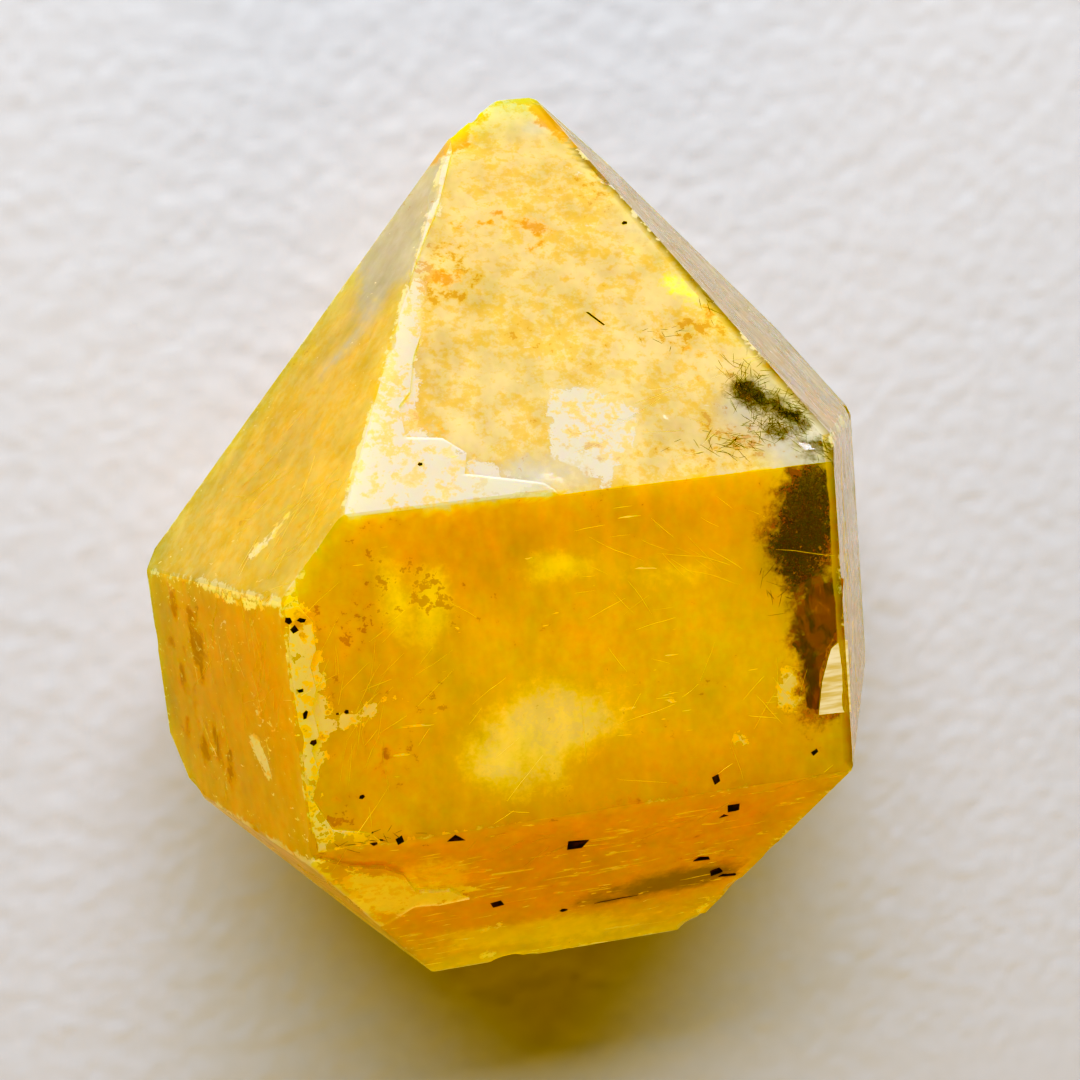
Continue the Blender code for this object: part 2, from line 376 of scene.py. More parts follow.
# Marks by the field that they feed.  Places are millimetres on the face that is named.
MARKS: dict[str, dict[FaceName, tuple[Mark, ...]]] = {
    # chalky cream crusts
    "frost": {
        TIP_SLOPE: (
            Patch(((0.1, 0.5), (1.7, 0.2), (3.2, -0.7), (2.8, -2.3), (1.5, -3.4), (0.0, -2.5))),
            Streak(((-3.7, 5.6), (-4.0, 4.2), (-4.4, 2.0), (-5.0, 0.0)), 0.30),
            Streak(((-4.6, -1.2), (-3.2, -2.2), (-2.0, -3.4), (0.2, -4.5), (3.6, -4.6)), 0.35),
            Spot(-2.1, 9.65, 0.55, 0.14, 50), Spot(-0.8, 12.25, 0.25, 0.14),
            Spot(3.5, 10.95, 0.25, 0.10, -30), Spot(-0.9, 0.9, 0.45, 0.15, -20),
            Spot(5.3, 6.2, 0.20, 0.10, -40),
        ),
        TIP_RIGHT: (Streak(((-4.0, 6.0), (-5.5, 0.0)), 0.12),),
        TOP: (
            Spot(7.1, -5.3, 0.45, 0.5), Spot(5.05, -7.0, 0.35, 0.3),
            Streak(((-9.0, -0.4), (-8.8, -2.0), (-9.0, -4.2), (-9.1, -6.6)), 0.18),
            Spot(-7.6, -4.15, 0.55, 0.12, 12), Streak(((-6.9, -8.55), (-5.9, -8.6)), 0.16),
            Streak(((-5.6, -8.6), (-2.8, -8.7)), 0.14),
        ),
        BUTT_SLOPE: (
            Patch(((-9.0, -2.5), (-6.8, -3.1), (-6.1, -4.7), (-4.2, -5.5), (-6.5, -5.8), (-7.7, -6.7))),
            Streak(((7.4, -5.0), (6.4, -8.2), (5.2, -10.9)), 0.16), Spot(-3.3, -9.0, 0.6, 0.4),
            Spot(-3.5, -11.8, 0.8, 0.45),
        ),
        LEFT: (
            Spot(-0.9, -4.1, 0.25, 0.5), Streak(((-0.5, -5.4), (0.2, -6.0), (0.7, -6.7)), 0.2),
            Streak(((-2.0, -0.4), (0.4, -0.6), (2.8, -0.2)), 0.22),
        ),
        TIP_LEFT: (Streak(((-0.2, -6.6), (0.9, -5.2)), 0.25),),
    },
    # rusty iron stains
    "rust": {
        TIP_SLOPE: (
            Spot(-0.15, 9.1, 0.55, 0.45), Spot(1.3, 8.1, 0.75, 0.5, -20), Spot(0.8, 7.0, 0.5, 0.25),
            Spot(-1.1, 8.5, 1.3, 0.25, -8), Spot(-0.3, 7.0, 0.45, 0.15), Spot(-2.4, 5.9, 0.5, 0.4),
            Streak(((5.8, 1.4), (5.5, 0.1)), 0.16), Streak(((-4.0, -0.8), (-1.7, -1.1)), 0.07),
            Spot(-0.95, 13.3, 0.75, 0.55, 40), Streak(((6.4, 5.0), (6.9, 3.1)), 0.20),
        ),
        TOP: (
            Spot(2.0, -8.25, 1.6, 0.40, 4), Spot(-9.0, -0.95, 0.25, 0.20), Spot(-8.8, -6.9, 0.30, 0.15),
            Spot(-7.0, -5.8, 0.15, 0.30),
        ),
        LEFT: (
            Spot(-6.1, -1.6, 0.35, 1.1), Spot(-6.2, -4.4, 0.55, 1.3), Spot(-5.3, -5.2, 0.40, 1.4),
            Spot(-5.0, -7.0, 0.40, 0.9), Spot(-4.6, -1.8, 0.30, 1.2), Spot(-4.1, -3.8, 0.30, 1.3),
            Spot(-2.6, -6.9, 0.25, 0.9), Spot(-6.8, -3.0, 0.25, 0.9), Spot(-5.6, -3.2, 0.22, 0.8),
            Spot(-6.3, -6.2, 0.28, 0.8), Spot(-4.9, -4.4, 0.20, 0.8), Spot(-3.6, -5.6, 0.20, 0.9),
        ),
        RIGHT: (Spot(1.5, -3.2, 0.25, 0.8, -10),),
        BUTT_SLOPE: (
            Spot(3.0, -1.6, 0.45, 0.15, 10), Spot(3.9, -4.2, 0.50, 0.20, 20), Spot(-1.6, -2.2, 0.30, 0.18),
        ),
    },
    # soft reaches that are yellower than the rest
    "sunny": {
        TOP: (Spot(1.5, -3.0, 6.5, 3.6, -6), Spot(-2.4, -6.2, 2.2, 2.0),),
        BUTT_SLOPE: (Spot(-1.0, -10.6, 6.0, 2.0, 6),),
        LEFT: (Spot(-5.6, -3.0, 1.6, 4.0, 8),),
        TIP_SLOPE: (Spot(1.0, 12.0, 4.0, 4.0),),
    },
    # places crowded with brown dust
    "dusty": {
        TIP_SLOPE: (
            Spot(5.2, -2.6, 2.2, 0.8, -6), Spot(4.9, 1.9, 1.6, 0.7), Spot(7.2, 3.6, 0.6, 2.2, 20),
            Spot(-2.6, 6.2, 1.2, 1.6, -30), Spot(4.6, 10.0, 0.6, 2.4, 22),
        ),
        TOP: (Spot(-6.2, -0.6, 2.2, 1.0), Spot(-9.1, -7.8, 1.0, 1.0),),
        LEFT: (Spot(-6.0, -4.8, 0.7, 3.2, 4), Spot(-4.4, -3.0, 0.8, 2.6, 4),),
        BUTT_SLOPE: (Spot(-6.5, -1.0, 2.4, 0.5),),
    },
    # smoky shade inside
    "smoke": {
        BUTT_SLOPE: (Spot(3.4, -7.7, 2.9, 0.95, 4), Spot(1.2, -8.3, 1.0, 0.35),),
    },
    # milky clouds just under the surface
    "cloud": {
        TOP: (Spot(-1.6, -5.6, 2.4, 1.7, 10), Spot(-3.0, -6.3, 1.6, 1.2),),
        BUTT_SLOPE: (Spot(-6.9, -4.6, 2.4, 2.0),),
    },
    # greyish films
    "mist": {
        TIP_SLOPE: (
            Streak(((-1.7, 12.2), (-2.3, 10.5), (-3.0, 8.5), (-3.7, 6.4)), 0.30),
            Spot(7.2, -1.1, 0.9, 1.5, -35), Spot(8.4, -2.6, 1.4, 1.9, -20), Spot(2.2, 13.6, 0.8, 0.5),
            Spot(5.2, 7.4, 0.35, 0.8, 30), Spot(-1.3, -3.3, 1.6, 0.6, 8),
        ),
        TIP_LEFT: (
            Streak(((-2.1, 11.5), (-1.6, 8.3), (-0.6, 5.9), (-0.7, 3.6)), 0.85),
            Spot(-2.0, 8.0, 2.6, 5.0, 14), Streak(((-0.6, 3.4), (-2.2, 1.0)), 0.35),
        ),
        TIP_RIGHT: (Streak(((0.5, -3.0), (-2.0, -4.7), (-3.0, -5.5)), 0.7),),
        RIGHT: (Streak(((2.1, 0.8), (1.6, -2.0), (0.6, -5.0)), 0.5),),
    },
    # painted glow: bright yellow patches that stand in for light shining out from inside
    "glow": {
        TOP: (
            Spot(-5.9, -0.7, 0.5, 1.0, 10), Spot(-4.8, -0.8, 0.5, 1.0, -12), Spot(-0.5, -0.1, 0.6, 0.3),
            Spot(3.4, -0.8, 0.9, 0.3),
        ),
        TIP_SLOPE: (Spot(6.05, 4.2, 0.65, 0.45, -40),),
        BUTT_SLOPE: (Spot(-1.5, -10.2, 4.0, 1.1, -8),),
    },
    # places where the skin is clean, so that what is below shows
    "clean": {
        TIP_SLOPE: (
            Streak(((6.9, -0.3), (7.5, -1.2), (8.2, -1.8), (8.6, -2.5)), 0.50), Spot(7.7, -2.4, 0.35, 0.3),
            Spot(8.7, -3.2, 0.40, 0.5),
        ),
        TOP: (
            Spot(8.1, 0.9, 1.2, 1.4), Spot(7.9, -0.7, 1.5, 1.7),
            Patch(((7.1, -2.0), (9.6, -1.0), (9.6, -6.7), (7.7, -6.6), (7.5, -4.4), (7.0, -3.6))),
        ),
    },
}
FIELD_REACH_MM = -3.0  # what a field says away from all its marks
RIMMED: tuple[FaceName, ...] = (TIP_SLOPE, TOP, BUTT_SLOPE)  # faces with a chalky rim round a terrace
RIM_DEPTH_MM = 0.07  # the rim is what lies higher than this
CREST_STAIN_FROM_MM = 14.7  # the stain along the tip's crest starts this far along the axis
CREST_STAIN_WIDE_MM = 0.45
RIM_STEEPNESS = 5.0  # the rim's field changes this fast, so that it holds a clear border


class Habit(NamedTuple):
    """How a face has grown and weathered, and how much painted light its skin carries, each from 0 to 1."""

    # how pale the skin is painted: partly a dull crust, partly a painted sheen of reflected light
    satin: float  # how dull and pale its skin is
    cover: float  # how much of the clear quartz its skin hides
    ripe: float  # how orange it is
    # painted light: crusts on faces that lie in shade are painted brighter
    glimmer: float  # how brightly its crusts stand out


HABITS: dict[FaceName, Habit] = {
    TIP_SLOPE: Habit(0.90, 0.78, 0.12, 0.0),
    TIP_LEFT: Habit(0.50, 0.56, 0.42, 0.3),
    TIP_RIGHT: Habit(0.80, 0.22, 0.35, 0.2),
    LEFT: Habit(0.10, 0.62, 0.74, 0.8),
    TOP: Habit(0.04, 0.55, 0.57, 0.3),
    RIGHT: Habit(0.80, 0.22, 0.60, 0.3),
    BUTT_SLOPE: Habit(0.06, 0.62, 0.66, 1.0),
}
COMMON_HABIT = Habit(0.20, 0.52, 0.55, 0.6)


class Border(NamedTuple):
    """How a mark fades at its border, in millimetres, and how much it hides."""

    ragged: float  # how far its border strays
    starts: float  # how far inside the mark it starts to show, negative outside
    full: float  # how far inside the mark it shows in full
    hides: float = 0.0  # how much more of the clear quartz it covers


BORDERS: dict[str, Border] = {
    "cloud": Border(1.4, -0.5, 1.1, 0.4),
    "rust": Border(0.9, -0.05, 0.30, 0.5),
    "glow": Border(0.8, -0.4, 0.4, 0.2),
    "smoke": Border(0.5, -0.5, 0.4, 0.3),
    "mist": Border(1.2, -0.5, 0.7, 0.1),
    "frost": Border(0.85, 0.0, 0.08),
    "clean": Border(1.1, -0.3, 0.5),
    "sunny": Border(1.0, -1.2, 2.0),
    "dusty": Border(1.0, -0.6, 0.8),
}


# ------------------------------------------------------------------ meshes
def add_piece(name: str, mesh: bpy.types.Mesh) -> bpy.types.Object:
    """Puts a mesh in the scene as a piece of the crystal.

    Args:
        name: The piece's name.
        mesh: Its mesh, in place in the frame.

    Returns:
        The new object.
    """
    piece = bpy.data.objects.new(name, mesh)
    bpy.context.scene.collection.objects.link(piece)
    return piece


def settle_piece(piece: bpy.types.Object, material: bpy.types.Material) -> None:
    """Dresses a piece, makes it ride on the crystal's body and logs how many faces it has."""
    piece.data.materials.clear()
    piece.data.materials.append(material)
    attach(piece, BODY)
    LOG.info("%s: %d faces", piece.name, len(piece.data.polygons))


def mesh_points(mesh: bpy.types.Mesh) -> Points:
    """All of a mesh's points, one row each."""
    flat = np.empty(len(mesh.vertices) * 3)
    mesh.vertices.foreach_get("co", flat)
    return flat.reshape(-1, 3)


def write_field(mesh: bpy.types.Mesh, name: str, values: Points) -> None:
    """Stores one number at each point of a mesh, for its material to read."""
    mesh.attributes.new(name, "FLOAT", "POINT").data.foreach_set("value", values.astype(np.float32))


def split_long_edges(points: Points, corners: Points, longest: float) -> tuple[Points, Points]:
    """Cuts every edge that is too long in half, and its triangles with it.

    Args:
        points: The mesh's points.
        corners: Three point numbers for each triangle.
        longest: The length that an edge may have.

    Returns:
        The new points and triangles.
    """
    sides = np.stack((corners, np.roll(corners, -1, axis=1)), axis=2)
    pairs, which = np.unique(np.sort(sides.reshape(-1, 2), axis=1), axis=0, return_inverse=True)
    long = np.linalg.norm(points[pairs[:, 0]] - points[pairs[:, 1]], axis=1) > longest
    middle = np.full(len(pairs), -1)
    middle[long] = len(points) + np.arange(long.sum())
    points = np.vstack((points, points[pairs[long]].mean(axis=1)))
    between = middle[which.reshape(-1)].reshape(-1, 3)
    made = [corners[(between < 0).all(axis=1)]]
    for turn in range(3):
        # a, b and c are the corners, and x, y and z the middles of ab, bc and ca
        turned = (*np.roll(corners, -turn, axis=1).T, *np.roll(between, -turn, axis=1).T)
        at = dict(zip("abcxyz", turned))
        x, y, z = (at[edge] >= 0 for edge in "xyz")
        spans = [np.linalg.norm(points[at[one]] - points[at[other]], axis=1) for one, other in ("xc", "ay")]
        shorter = spans[0] < spans[1]
        for chosen, triangles in (
            (x & y & z & (turn == 0), "axz xby zyc xyz"),
            (x & ~y & ~z, "axc xbc"),
            (x & y & ~z, "xby"),
            (x & y & ~z & shorter, "axc xyc"),
            (x & y & ~z & ~shorter, "axy ayc"),
        ):
            made += [np.stack([at[letter][chosen] for letter in each], axis=1) for each in triangles.split()]
    return points, np.vstack(made)


def new_mesh(name: str, points: Sequence[Any] | Points, corners: Sequence[Any] | Points) -> bpy.types.Mesh:
    """A mesh of these points and faces."""
    mesh = bpy.data.meshes.new(name)
    mesh.from_pydata(points, [], corners)
    return mesh


class Finish:
    """A finish that paints one material."""

    name = "finish"

    def shaders(self, graph: Graph) -> Values:
        """The shaders for the material's output, by the names of its inputs."""
        raise NotImplementedError

    def material(self) -> bpy.types.Material:
        """Builds the finish's material."""
        material = bpy.data.materials.new(self.name)
        material.use_nodes = True
        graph = Graph(material.node_tree)
        graph.add("ShaderNodeOutputMaterial", sockets=self.shaders(graph))
        return material


def fractal(points: Points, size_mm: float, octaves: int = 3, shift: float = 0.0) -> Points:
    """Smooth noise from about -1 to 1 at each point, with lumps of this size."""
    offset = Vector((shift, -shift, shift * 0.5))
    scale = 1.0 / (size_mm * MM)
    return np.array([noise.fractal(Vector(point) * scale + offset, 1.0, 2.0, octaves) for point in points])


# ------------------------------------------------------------------ the crystal
@dataclass
class CrystalBody:
    """The whole crystal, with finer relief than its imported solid."""

    faces: FaceSet
    coarsest_edge_mm: float = 0.50
    most_splits: int = 12
    same_point_mm: float = 0.001
    sharp_from: float = 9.0
    swell_depth_mm: float = 0.035
    swell_size_mm: float = 2.6
    pit_depth_mm: float = 0.030
    pit_size_mm: float = 0.9
    pit_contrast: float = 2.0
    pit_rarity: float = 0.5
    edge_guard_mm: tuple[float, float] = (0.1, 0.45)
    lump_size_mm: float = 2.2
    wide_size_mm: float = 8.0

    def build(self, solid: bpy.types.Object) -> bpy.types.Object:
        """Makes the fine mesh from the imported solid's own.

        Args:
            solid: The CAD node's object.

        Returns:
            The piece that stands for it.
        """
        mesh = self._refined(solid)
        points = mesh_points(mesh)
        depths = self.faces.depths(points)
        self._sink(mesh, points, depths)
        self._write_fields(mesh, points, depths)
        piece = add_piece("crystal", mesh)
        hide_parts(CRYSTAL_NODE)
        return piece

    def _refined(self, solid: bpy.types.Object) -> bpy.types.Mesh:
        """The solid's mesh with every edge split until none is longer than the coarsest allowed."""
        work = bmesh.new()
        work.from_mesh(solid.data)
        work.transform(solid.matrix_world)
        bmesh.ops.remove_doubles(work, verts=work.verts, dist=self.same_point_mm * MM)
        bmesh.ops.triangulate(work, faces=work.faces[:])
        points = np.array([vert.co[:] for vert in work.verts])
        corners = np.array([[vert.index for vert in each.verts] for each in work.faces])
        work.free()
        for _ in range(self.most_splits):
            before = len(points)
            points, corners = split_long_edges(points, corners, self.coarsest_edge_mm * MM)
            if len(points) == before:
                break
        mesh = new_mesh("crystal", points, corners)
        mesh.shade_smooth()
        mesh.set_sharp_from_angle(angle=math.radians(self.sharp_from))
        return mesh

    def _sink(self, mesh: bpy.types.Mesh, points: Points, depths: Points) -> None:
        """Lowers the flat faces a little here and there, away from their edges."""
        guard = np.interp(np.sort(depths, axis=0)[1], self.edge_guard_mm, (0.0, 1.0))
        swell = 0.5 + 0.5 * fractal(points, self.swell_size_mm, octaves=3, shift=3.0)
        pits = fractal(points, self.pit_size_mm, octaves=2, shift=11.0)
        pits = np.clip(pits * self.pit_contrast - self.pit_rarity, 0.0, 1.0)
        lowered = (swell * self.swell_depth_mm + pits * self.pit_depth_mm) * guard * MM
        normals = np.array([face.outward for face in self.faces.faces.values()])
        points -= normals[depths.argmin(axis=0)] * lowered[:, None]
        mesh.vertices.foreach_set("co", points.ravel())
        mesh.update()

    def _write_fields(self, mesh: bpy.types.Mesh, points: Points, depths: Points) -> None:
        """Stores the edges, habits, rims and marks for the finish to read."""
        names = list(self.faces.faces)
        owner = depths.argmin(axis=0)
        order = np.sort(depths, axis=0)
        write_field(mesh, "edge", order[1])
        habits = np.array([HABITS.get(name, COMMON_HABIT) for name in names])
        for column, field_name in enumerate(Habit._fields):
            write_field(mesh, field_name, habits[owner, column])
        rimmed = np.isin(owner, [names.index(name) for name in RIMMED])
        rim = (RIM_DEPTH_MM - order[0]) * RIM_STEEPNESS
        write_field(mesh, "rim", np.where(rimmed, rim, FIELD_REACH_MM))
        write_field(mesh, "lumps", 0.5 + 0.5 * fractal(points, self.lump_size_mm, octaves=4, shift=4.0))
        write_field(mesh, "wide", 0.5 + 0.5 * fractal(points, self.wide_size_mm, octaves=2, shift=9.0))
        for field_name, by_face in MARKS.items():
            values = np.full(len(points), FIELD_REACH_MM)
            for face_name, marks in by_face.items():
                here = owner == names.index(face_name)
                across, climb, _ = self.faces[face_name].local(points[here])
                for mark in marks:
                    values[here] = np.maximum(values[here], mark.inside(across, climb))
            if field_name == "rust":
                crest = np.minimum(points[:, 1] / MM - CREST_STAIN_FROM_MM, CREST_STAIN_WIDE_MM - order[1])
                values = np.maximum(values, crest)
            write_field(mesh, field_name, values)


@dataclass(frozen=True)
class QuartzFinish(Finish):
    """Clear amber quartz under a thin, patchy, iron-stained skin."""

    name = "amber_quartz"
    clear_tint: Colour = (1.0, 0.72, 0.10)
    rusty_tint: Colour = (0.75, 0.28, 0.02)
    smoky_tint: Colour = (0.45, 0.22, 0.05)
    absorbed: Colour = (0.985, 0.845, 0.12)
    absorption: float = 90.0
    yellow: Colour = (0.99, 0.71, 0.05)
    amber: Colour = (0.99, 0.53, 0.006)
    orange: Colour = (0.98, 0.36, 0.002)
    cream: Colour = (0.57, 0.44, 0.22)
    stipple: Colour = (0.58, 0.35, 0.07)
    chalk: Colour = (0.66, 0.45, 0.18)
    pale_chalk: Colour = (0.50, 0.46, 0.33)
    # painted light: the brighter crust colour for faces that lie in shade
    shade_lift_chalk: Colour = (0.98, 0.79, 0.26)
    rust: Colour = (0.29, 0.078, 0.004)
    ochre: Colour = (0.46, 0.15, 0.006)
    soot: Colour = (0.14, 0.06, 0.008)
    # painted light: the bright yellow of the glow marks
    painted_glow: Colour = (1.0, 0.72, 0.03)
    milk: Colour = (0.82, 0.63, 0.20)
    grey: Colour = (0.40, 0.39, 0.30)
    clear_roughness: float = 0.06
    skin_roughness: float = 0.38
    skin_shine: float = 0.20
    scatter: Colour = (1.0, 0.55, 0.06)
    scatter_mm: float = 13.0
    grain_mm: float = 0.42
    vein_mm: float = 1.7
    scuff_mm: float = 0.75
    dent_mm: float = 0.35
    dent_depth_mm: float = 0.025
    dent_strength: float = 0.35

    def shaders(self, graph: Graph) -> Values:
        """Clear quartz, and the skin over it as far as the masks say."""
        where = graph.millimetres()
        masks = self._masks(graph, where)
        dents = graph.noise(where, self.dent_mm, detail=0.0, shift=13.0)
        relief = graph.add("ShaderNodeBump", sockets={
            "Strength": self.dent_strength, "Distance": self.dent_depth_mm * MM, "Height": dents})
        tint = graph.mix(masks["rust"] * 0.8, self.clear_tint, self.rusty_tint)
        tint = graph.mix(masks["smoke"] * 0.8, tint, self.smoky_tint)
        clear = graph.principled(tint, self.clear_roughness, {
            "IOR": QUARTZ_IOR, "Transmission Weight": 1.0, "Normal": relief})
        dull = graph.principled(self._skin(graph, masks), self.skin_roughness, {
            "IOR": QUARTZ_IOR, "Specular IOR Level": self.skin_shine, "Normal": relief,
            "Subsurface Weight": 1.0, "Subsurface Radius": self.scatter,
            "Subsurface Scale": self.scatter_mm * MM})
        surface = graph.add("ShaderNodeMixShader", sockets={0: self._cover(graph, masks), 1: clear, 2: dull})
        inside = graph.add("ShaderNodeVolumeAbsorption", sockets={
            "Color": self.absorbed, "Density": self.absorption})
        return {"Surface": surface, "Volume": inside}

    def _masks(self, graph: Graph, where: Value) -> Values:
        """The noises, and a mask from 0 to 1 for each kind of mark, crust and wear."""
        grain = graph.noise(where, self.grain_mm, rough=0.68)
        lumps = graph.field("lumps")
        ragged = (lumps - 0.5) + (grain - 0.5) * 1.6
        masks = {
            name: graph.step(graph.field(name) + ragged * border.ragged, border.starts, border.full)
            for name, border in BORDERS.items()
        }
        masks |= {"grain": grain, "lumps": lumps}
        masks |= {name: graph.field(name) for name in ("satin", "glimmer")}
        masks["veins"] = graph.noise(
            where, self.vein_mm, detail=3.0, rough=0.6, stretch=(0.8, 1.5, 0.8), shift=7.0)
        rim = graph.step(graph.field("rim") + (grain - 0.5) * 0.2, -0.05, 0.05)
        rim = rim * graph.step(lumps + (grain - 0.5) * 1.4 + masks["satin"] * 0.5, 0.38, 0.48)
        # pale chalk along the edges: partly real wear, partly a painted highlight on the edges
        edge_wear_and_highlight = graph.step(graph.field("edge") + (grain - 0.5) * 0.6 + (lumps - 0.5) * 0.3, 0.12, 0.04)
        bare = 1.0 - masks["clean"]
        masks["chalky"] = (masks["frost"] | rim | edge_wear_and_highlight * (0.85 - masks["rust"] * 0.85)) * bare
        scuffs = graph.noise(
            where, self.scuff_mm, detail=2.0, rough=0.6, bend=0.8, stretch=(2.0, 0.26, 0.4), shift=17.0)
        scuffs = scuffs + masks["glimmer"] * 0.12 + (lumps - 0.5) * 0.20
        masks["scuffs"] = graph.step(scuffs, 0.76, 0.79) * bare
        return masks

    def _skin(self, graph: Graph, masks: Values) -> Value:
        """The skin's colour: honey that ripens to orange, paled by painted sheen and brightened by painted
        glow, then its stains and its crusts, painted brighter on faces in shade.
        """
        grain, lumps, satin = masks["grain"], masks["lumps"], masks["satin"]
        ripe = graph.field("ripe") - masks["sunny"] * 0.25 + (graph.field("wide") - 0.5) * 0.35
        ripe = ripe + (masks["veins"] - 0.5) * 0.6 + (grain - 0.5) * 0.7
        honey = graph.add("ShaderNodeValToRGB", {
            "stops": ((0.1, self.yellow), (0.5, self.amber), (0.95, self.orange))}, {0: ripe})
        pale = graph.mix(graph.step(grain + (lumps - 0.5) * 0.3, 0.43, 0.62) * 0.8, self.cream, self.stipple)
        # the pale skin is partly a dull crust and partly a painted sheen of reflected light
        skin = graph.mix(satin, honey, pale)
        # the glow coat is painted light: bright yellow standing in for light shining out from inside
        coats = (("glow", 0.8, self.painted_glow), ("cloud", 0.75, self.milk), ("mist", 0.8, self.grey))
        for name, strength, colour in coats:
            skin = graph.mix(masks[name] * strength, skin, colour)
        specks = graph.step(grain + (lumps - 0.5) * 0.3 + masks["dusty"] * 0.16, 0.70, 0.76)
        stain = graph.mix(satin, self.rust, self.ochre)
        skin = graph.mix(masks["rust"] * 0.75 | specks * 0.5, skin, stain)
        skin = graph.mix(masks["smoke"] * 0.95, skin, self.soot)
        crust = graph.mix(satin, self.chalk, self.pale_chalk)
        # painted light: crusts are lightened on faces that lie in shade
        crust = graph.mix(masks["glimmer"], crust, self.shade_lift_chalk)
        crust = graph.mix(graph.step(grain + (masks["veins"] - 0.5) * 0.6, 0.50, 0.60) * 0.75, crust, skin)
        flecks = masks["cloud"] * graph.step(grain + (lumps - 0.5) * 0.4, 0.50, 0.60)
        return graph.mix(masks["chalky"] | (flecks * 0.7 | masks["scuffs"] * 0.9), skin, crust)

    def _cover(self, graph: Graph, masks: Values) -> Value:
        """How much of the clear quartz the skin hides."""
        cover = graph.field("cover")
        for name, border in BORDERS.items():
            if border.hides:
                cover = cover + masks[name] * border.hides
        cover = cover + (masks["veins"] - 0.5) * 0.6
        return (cover * (1.0 - masks["clean"] * 0.9)) | (masks["chalky"] | masks["scuffs"]) * 0.92


# ------------------------------------------------------------------ what is in and on the crystal
@dataclass
class Skin:
    """The crystal's own surface, so that small things can be laid on it or sunk below it."""

    faces: FaceSet
    crystal: bpy.types.Object
    reach: float = 0.004

    def __post_init__(self) -> None:
        """Prepares the surface for probing."""
        mesh = self.crystal.data
        self.tree = BVHTree.FromPolygons(
            [vertex.co for vertex in mesh.vertices], [each.vertices for each in mesh.polygons])

    def point(self, name: FaceName, across: float, climb: float, depth: float) -> Points:
        """The point this many millimetres below the real surface, at a place on a face."""
        face = self.faces[name]
        above = Vector(face.point(across, climb, -self.reach / MM))
        found = self.tree.ray_cast(above, -Vector(face.outward), 2.0 * self.reach)[0]
        surface = np.array(found) if found is not None else face.point(across, climb)
        return surface - face.outward * depth * MM


def grain_mesh(name: str, middles: Points, axes: Points, tones: Points) -> bpy.types.Mesh:
    """Joins many small eight-sided grains in one mesh.

    Args:
        name: The mesh's name.
        middles: One point a grain.
        axes: Three half axes a grain.
        tones: One number a grain, stored for its finish.

    Returns:
        The mesh.
    """
    tips = np.array(((1, 0, 0), (-1, 0, 0), (0, 1, 0), (0, -1, 0), (0, 0, 1), (0, 0, -1)), dtype=float)
    sides = np.array(((0, 2, 4), (2, 1, 4), (1, 3, 4), (3, 0, 4), (2, 0, 5), (1, 2, 5), (3, 1, 5), (0, 3, 5)))
    points = (middles[:, None, :] + tips @ axes).reshape(-1, 3)
    first = len(tips) * np.arange(len(middles))
    corners = (sides[None] + first[:, None, None]).reshape(-1, 3)
    mesh = new_mesh(name, points, corners)
    write_field(mesh, "tone", np.repeat(tones, len(tips)))
    return mesh


def loose_axes(chance: np.random.Generator, sizes: Points, flatness: float) -> Points:
    """Half axes of grains that lie every way: right-handed, of these sizes and this flatness."""
    turned = np.linalg.qr(chance.normal(size=(len(sizes), 3, 3)))[0]
    turned *= np.sign(np.linalg.det(turned))[:, None, None]
    shape = np.stack((np.ones(len(sizes)), chance.uniform(0.6, 1.0, len(sizes)),
                      np.full(len(sizes), flatness)), axis=1)
    return turned * (shape * sizes[:, None])[:, :, None]


@dataclass(frozen=True)
class Tuft:
    """A clump of mossy grains under a face, in millimetres, and the twigs that grow out of it."""

    face: FaceName
    across: float
    climb: float
    depth: float
    wide: float
    tall: float
    deep: float
    grains: int
    twigs: int
    tone: float


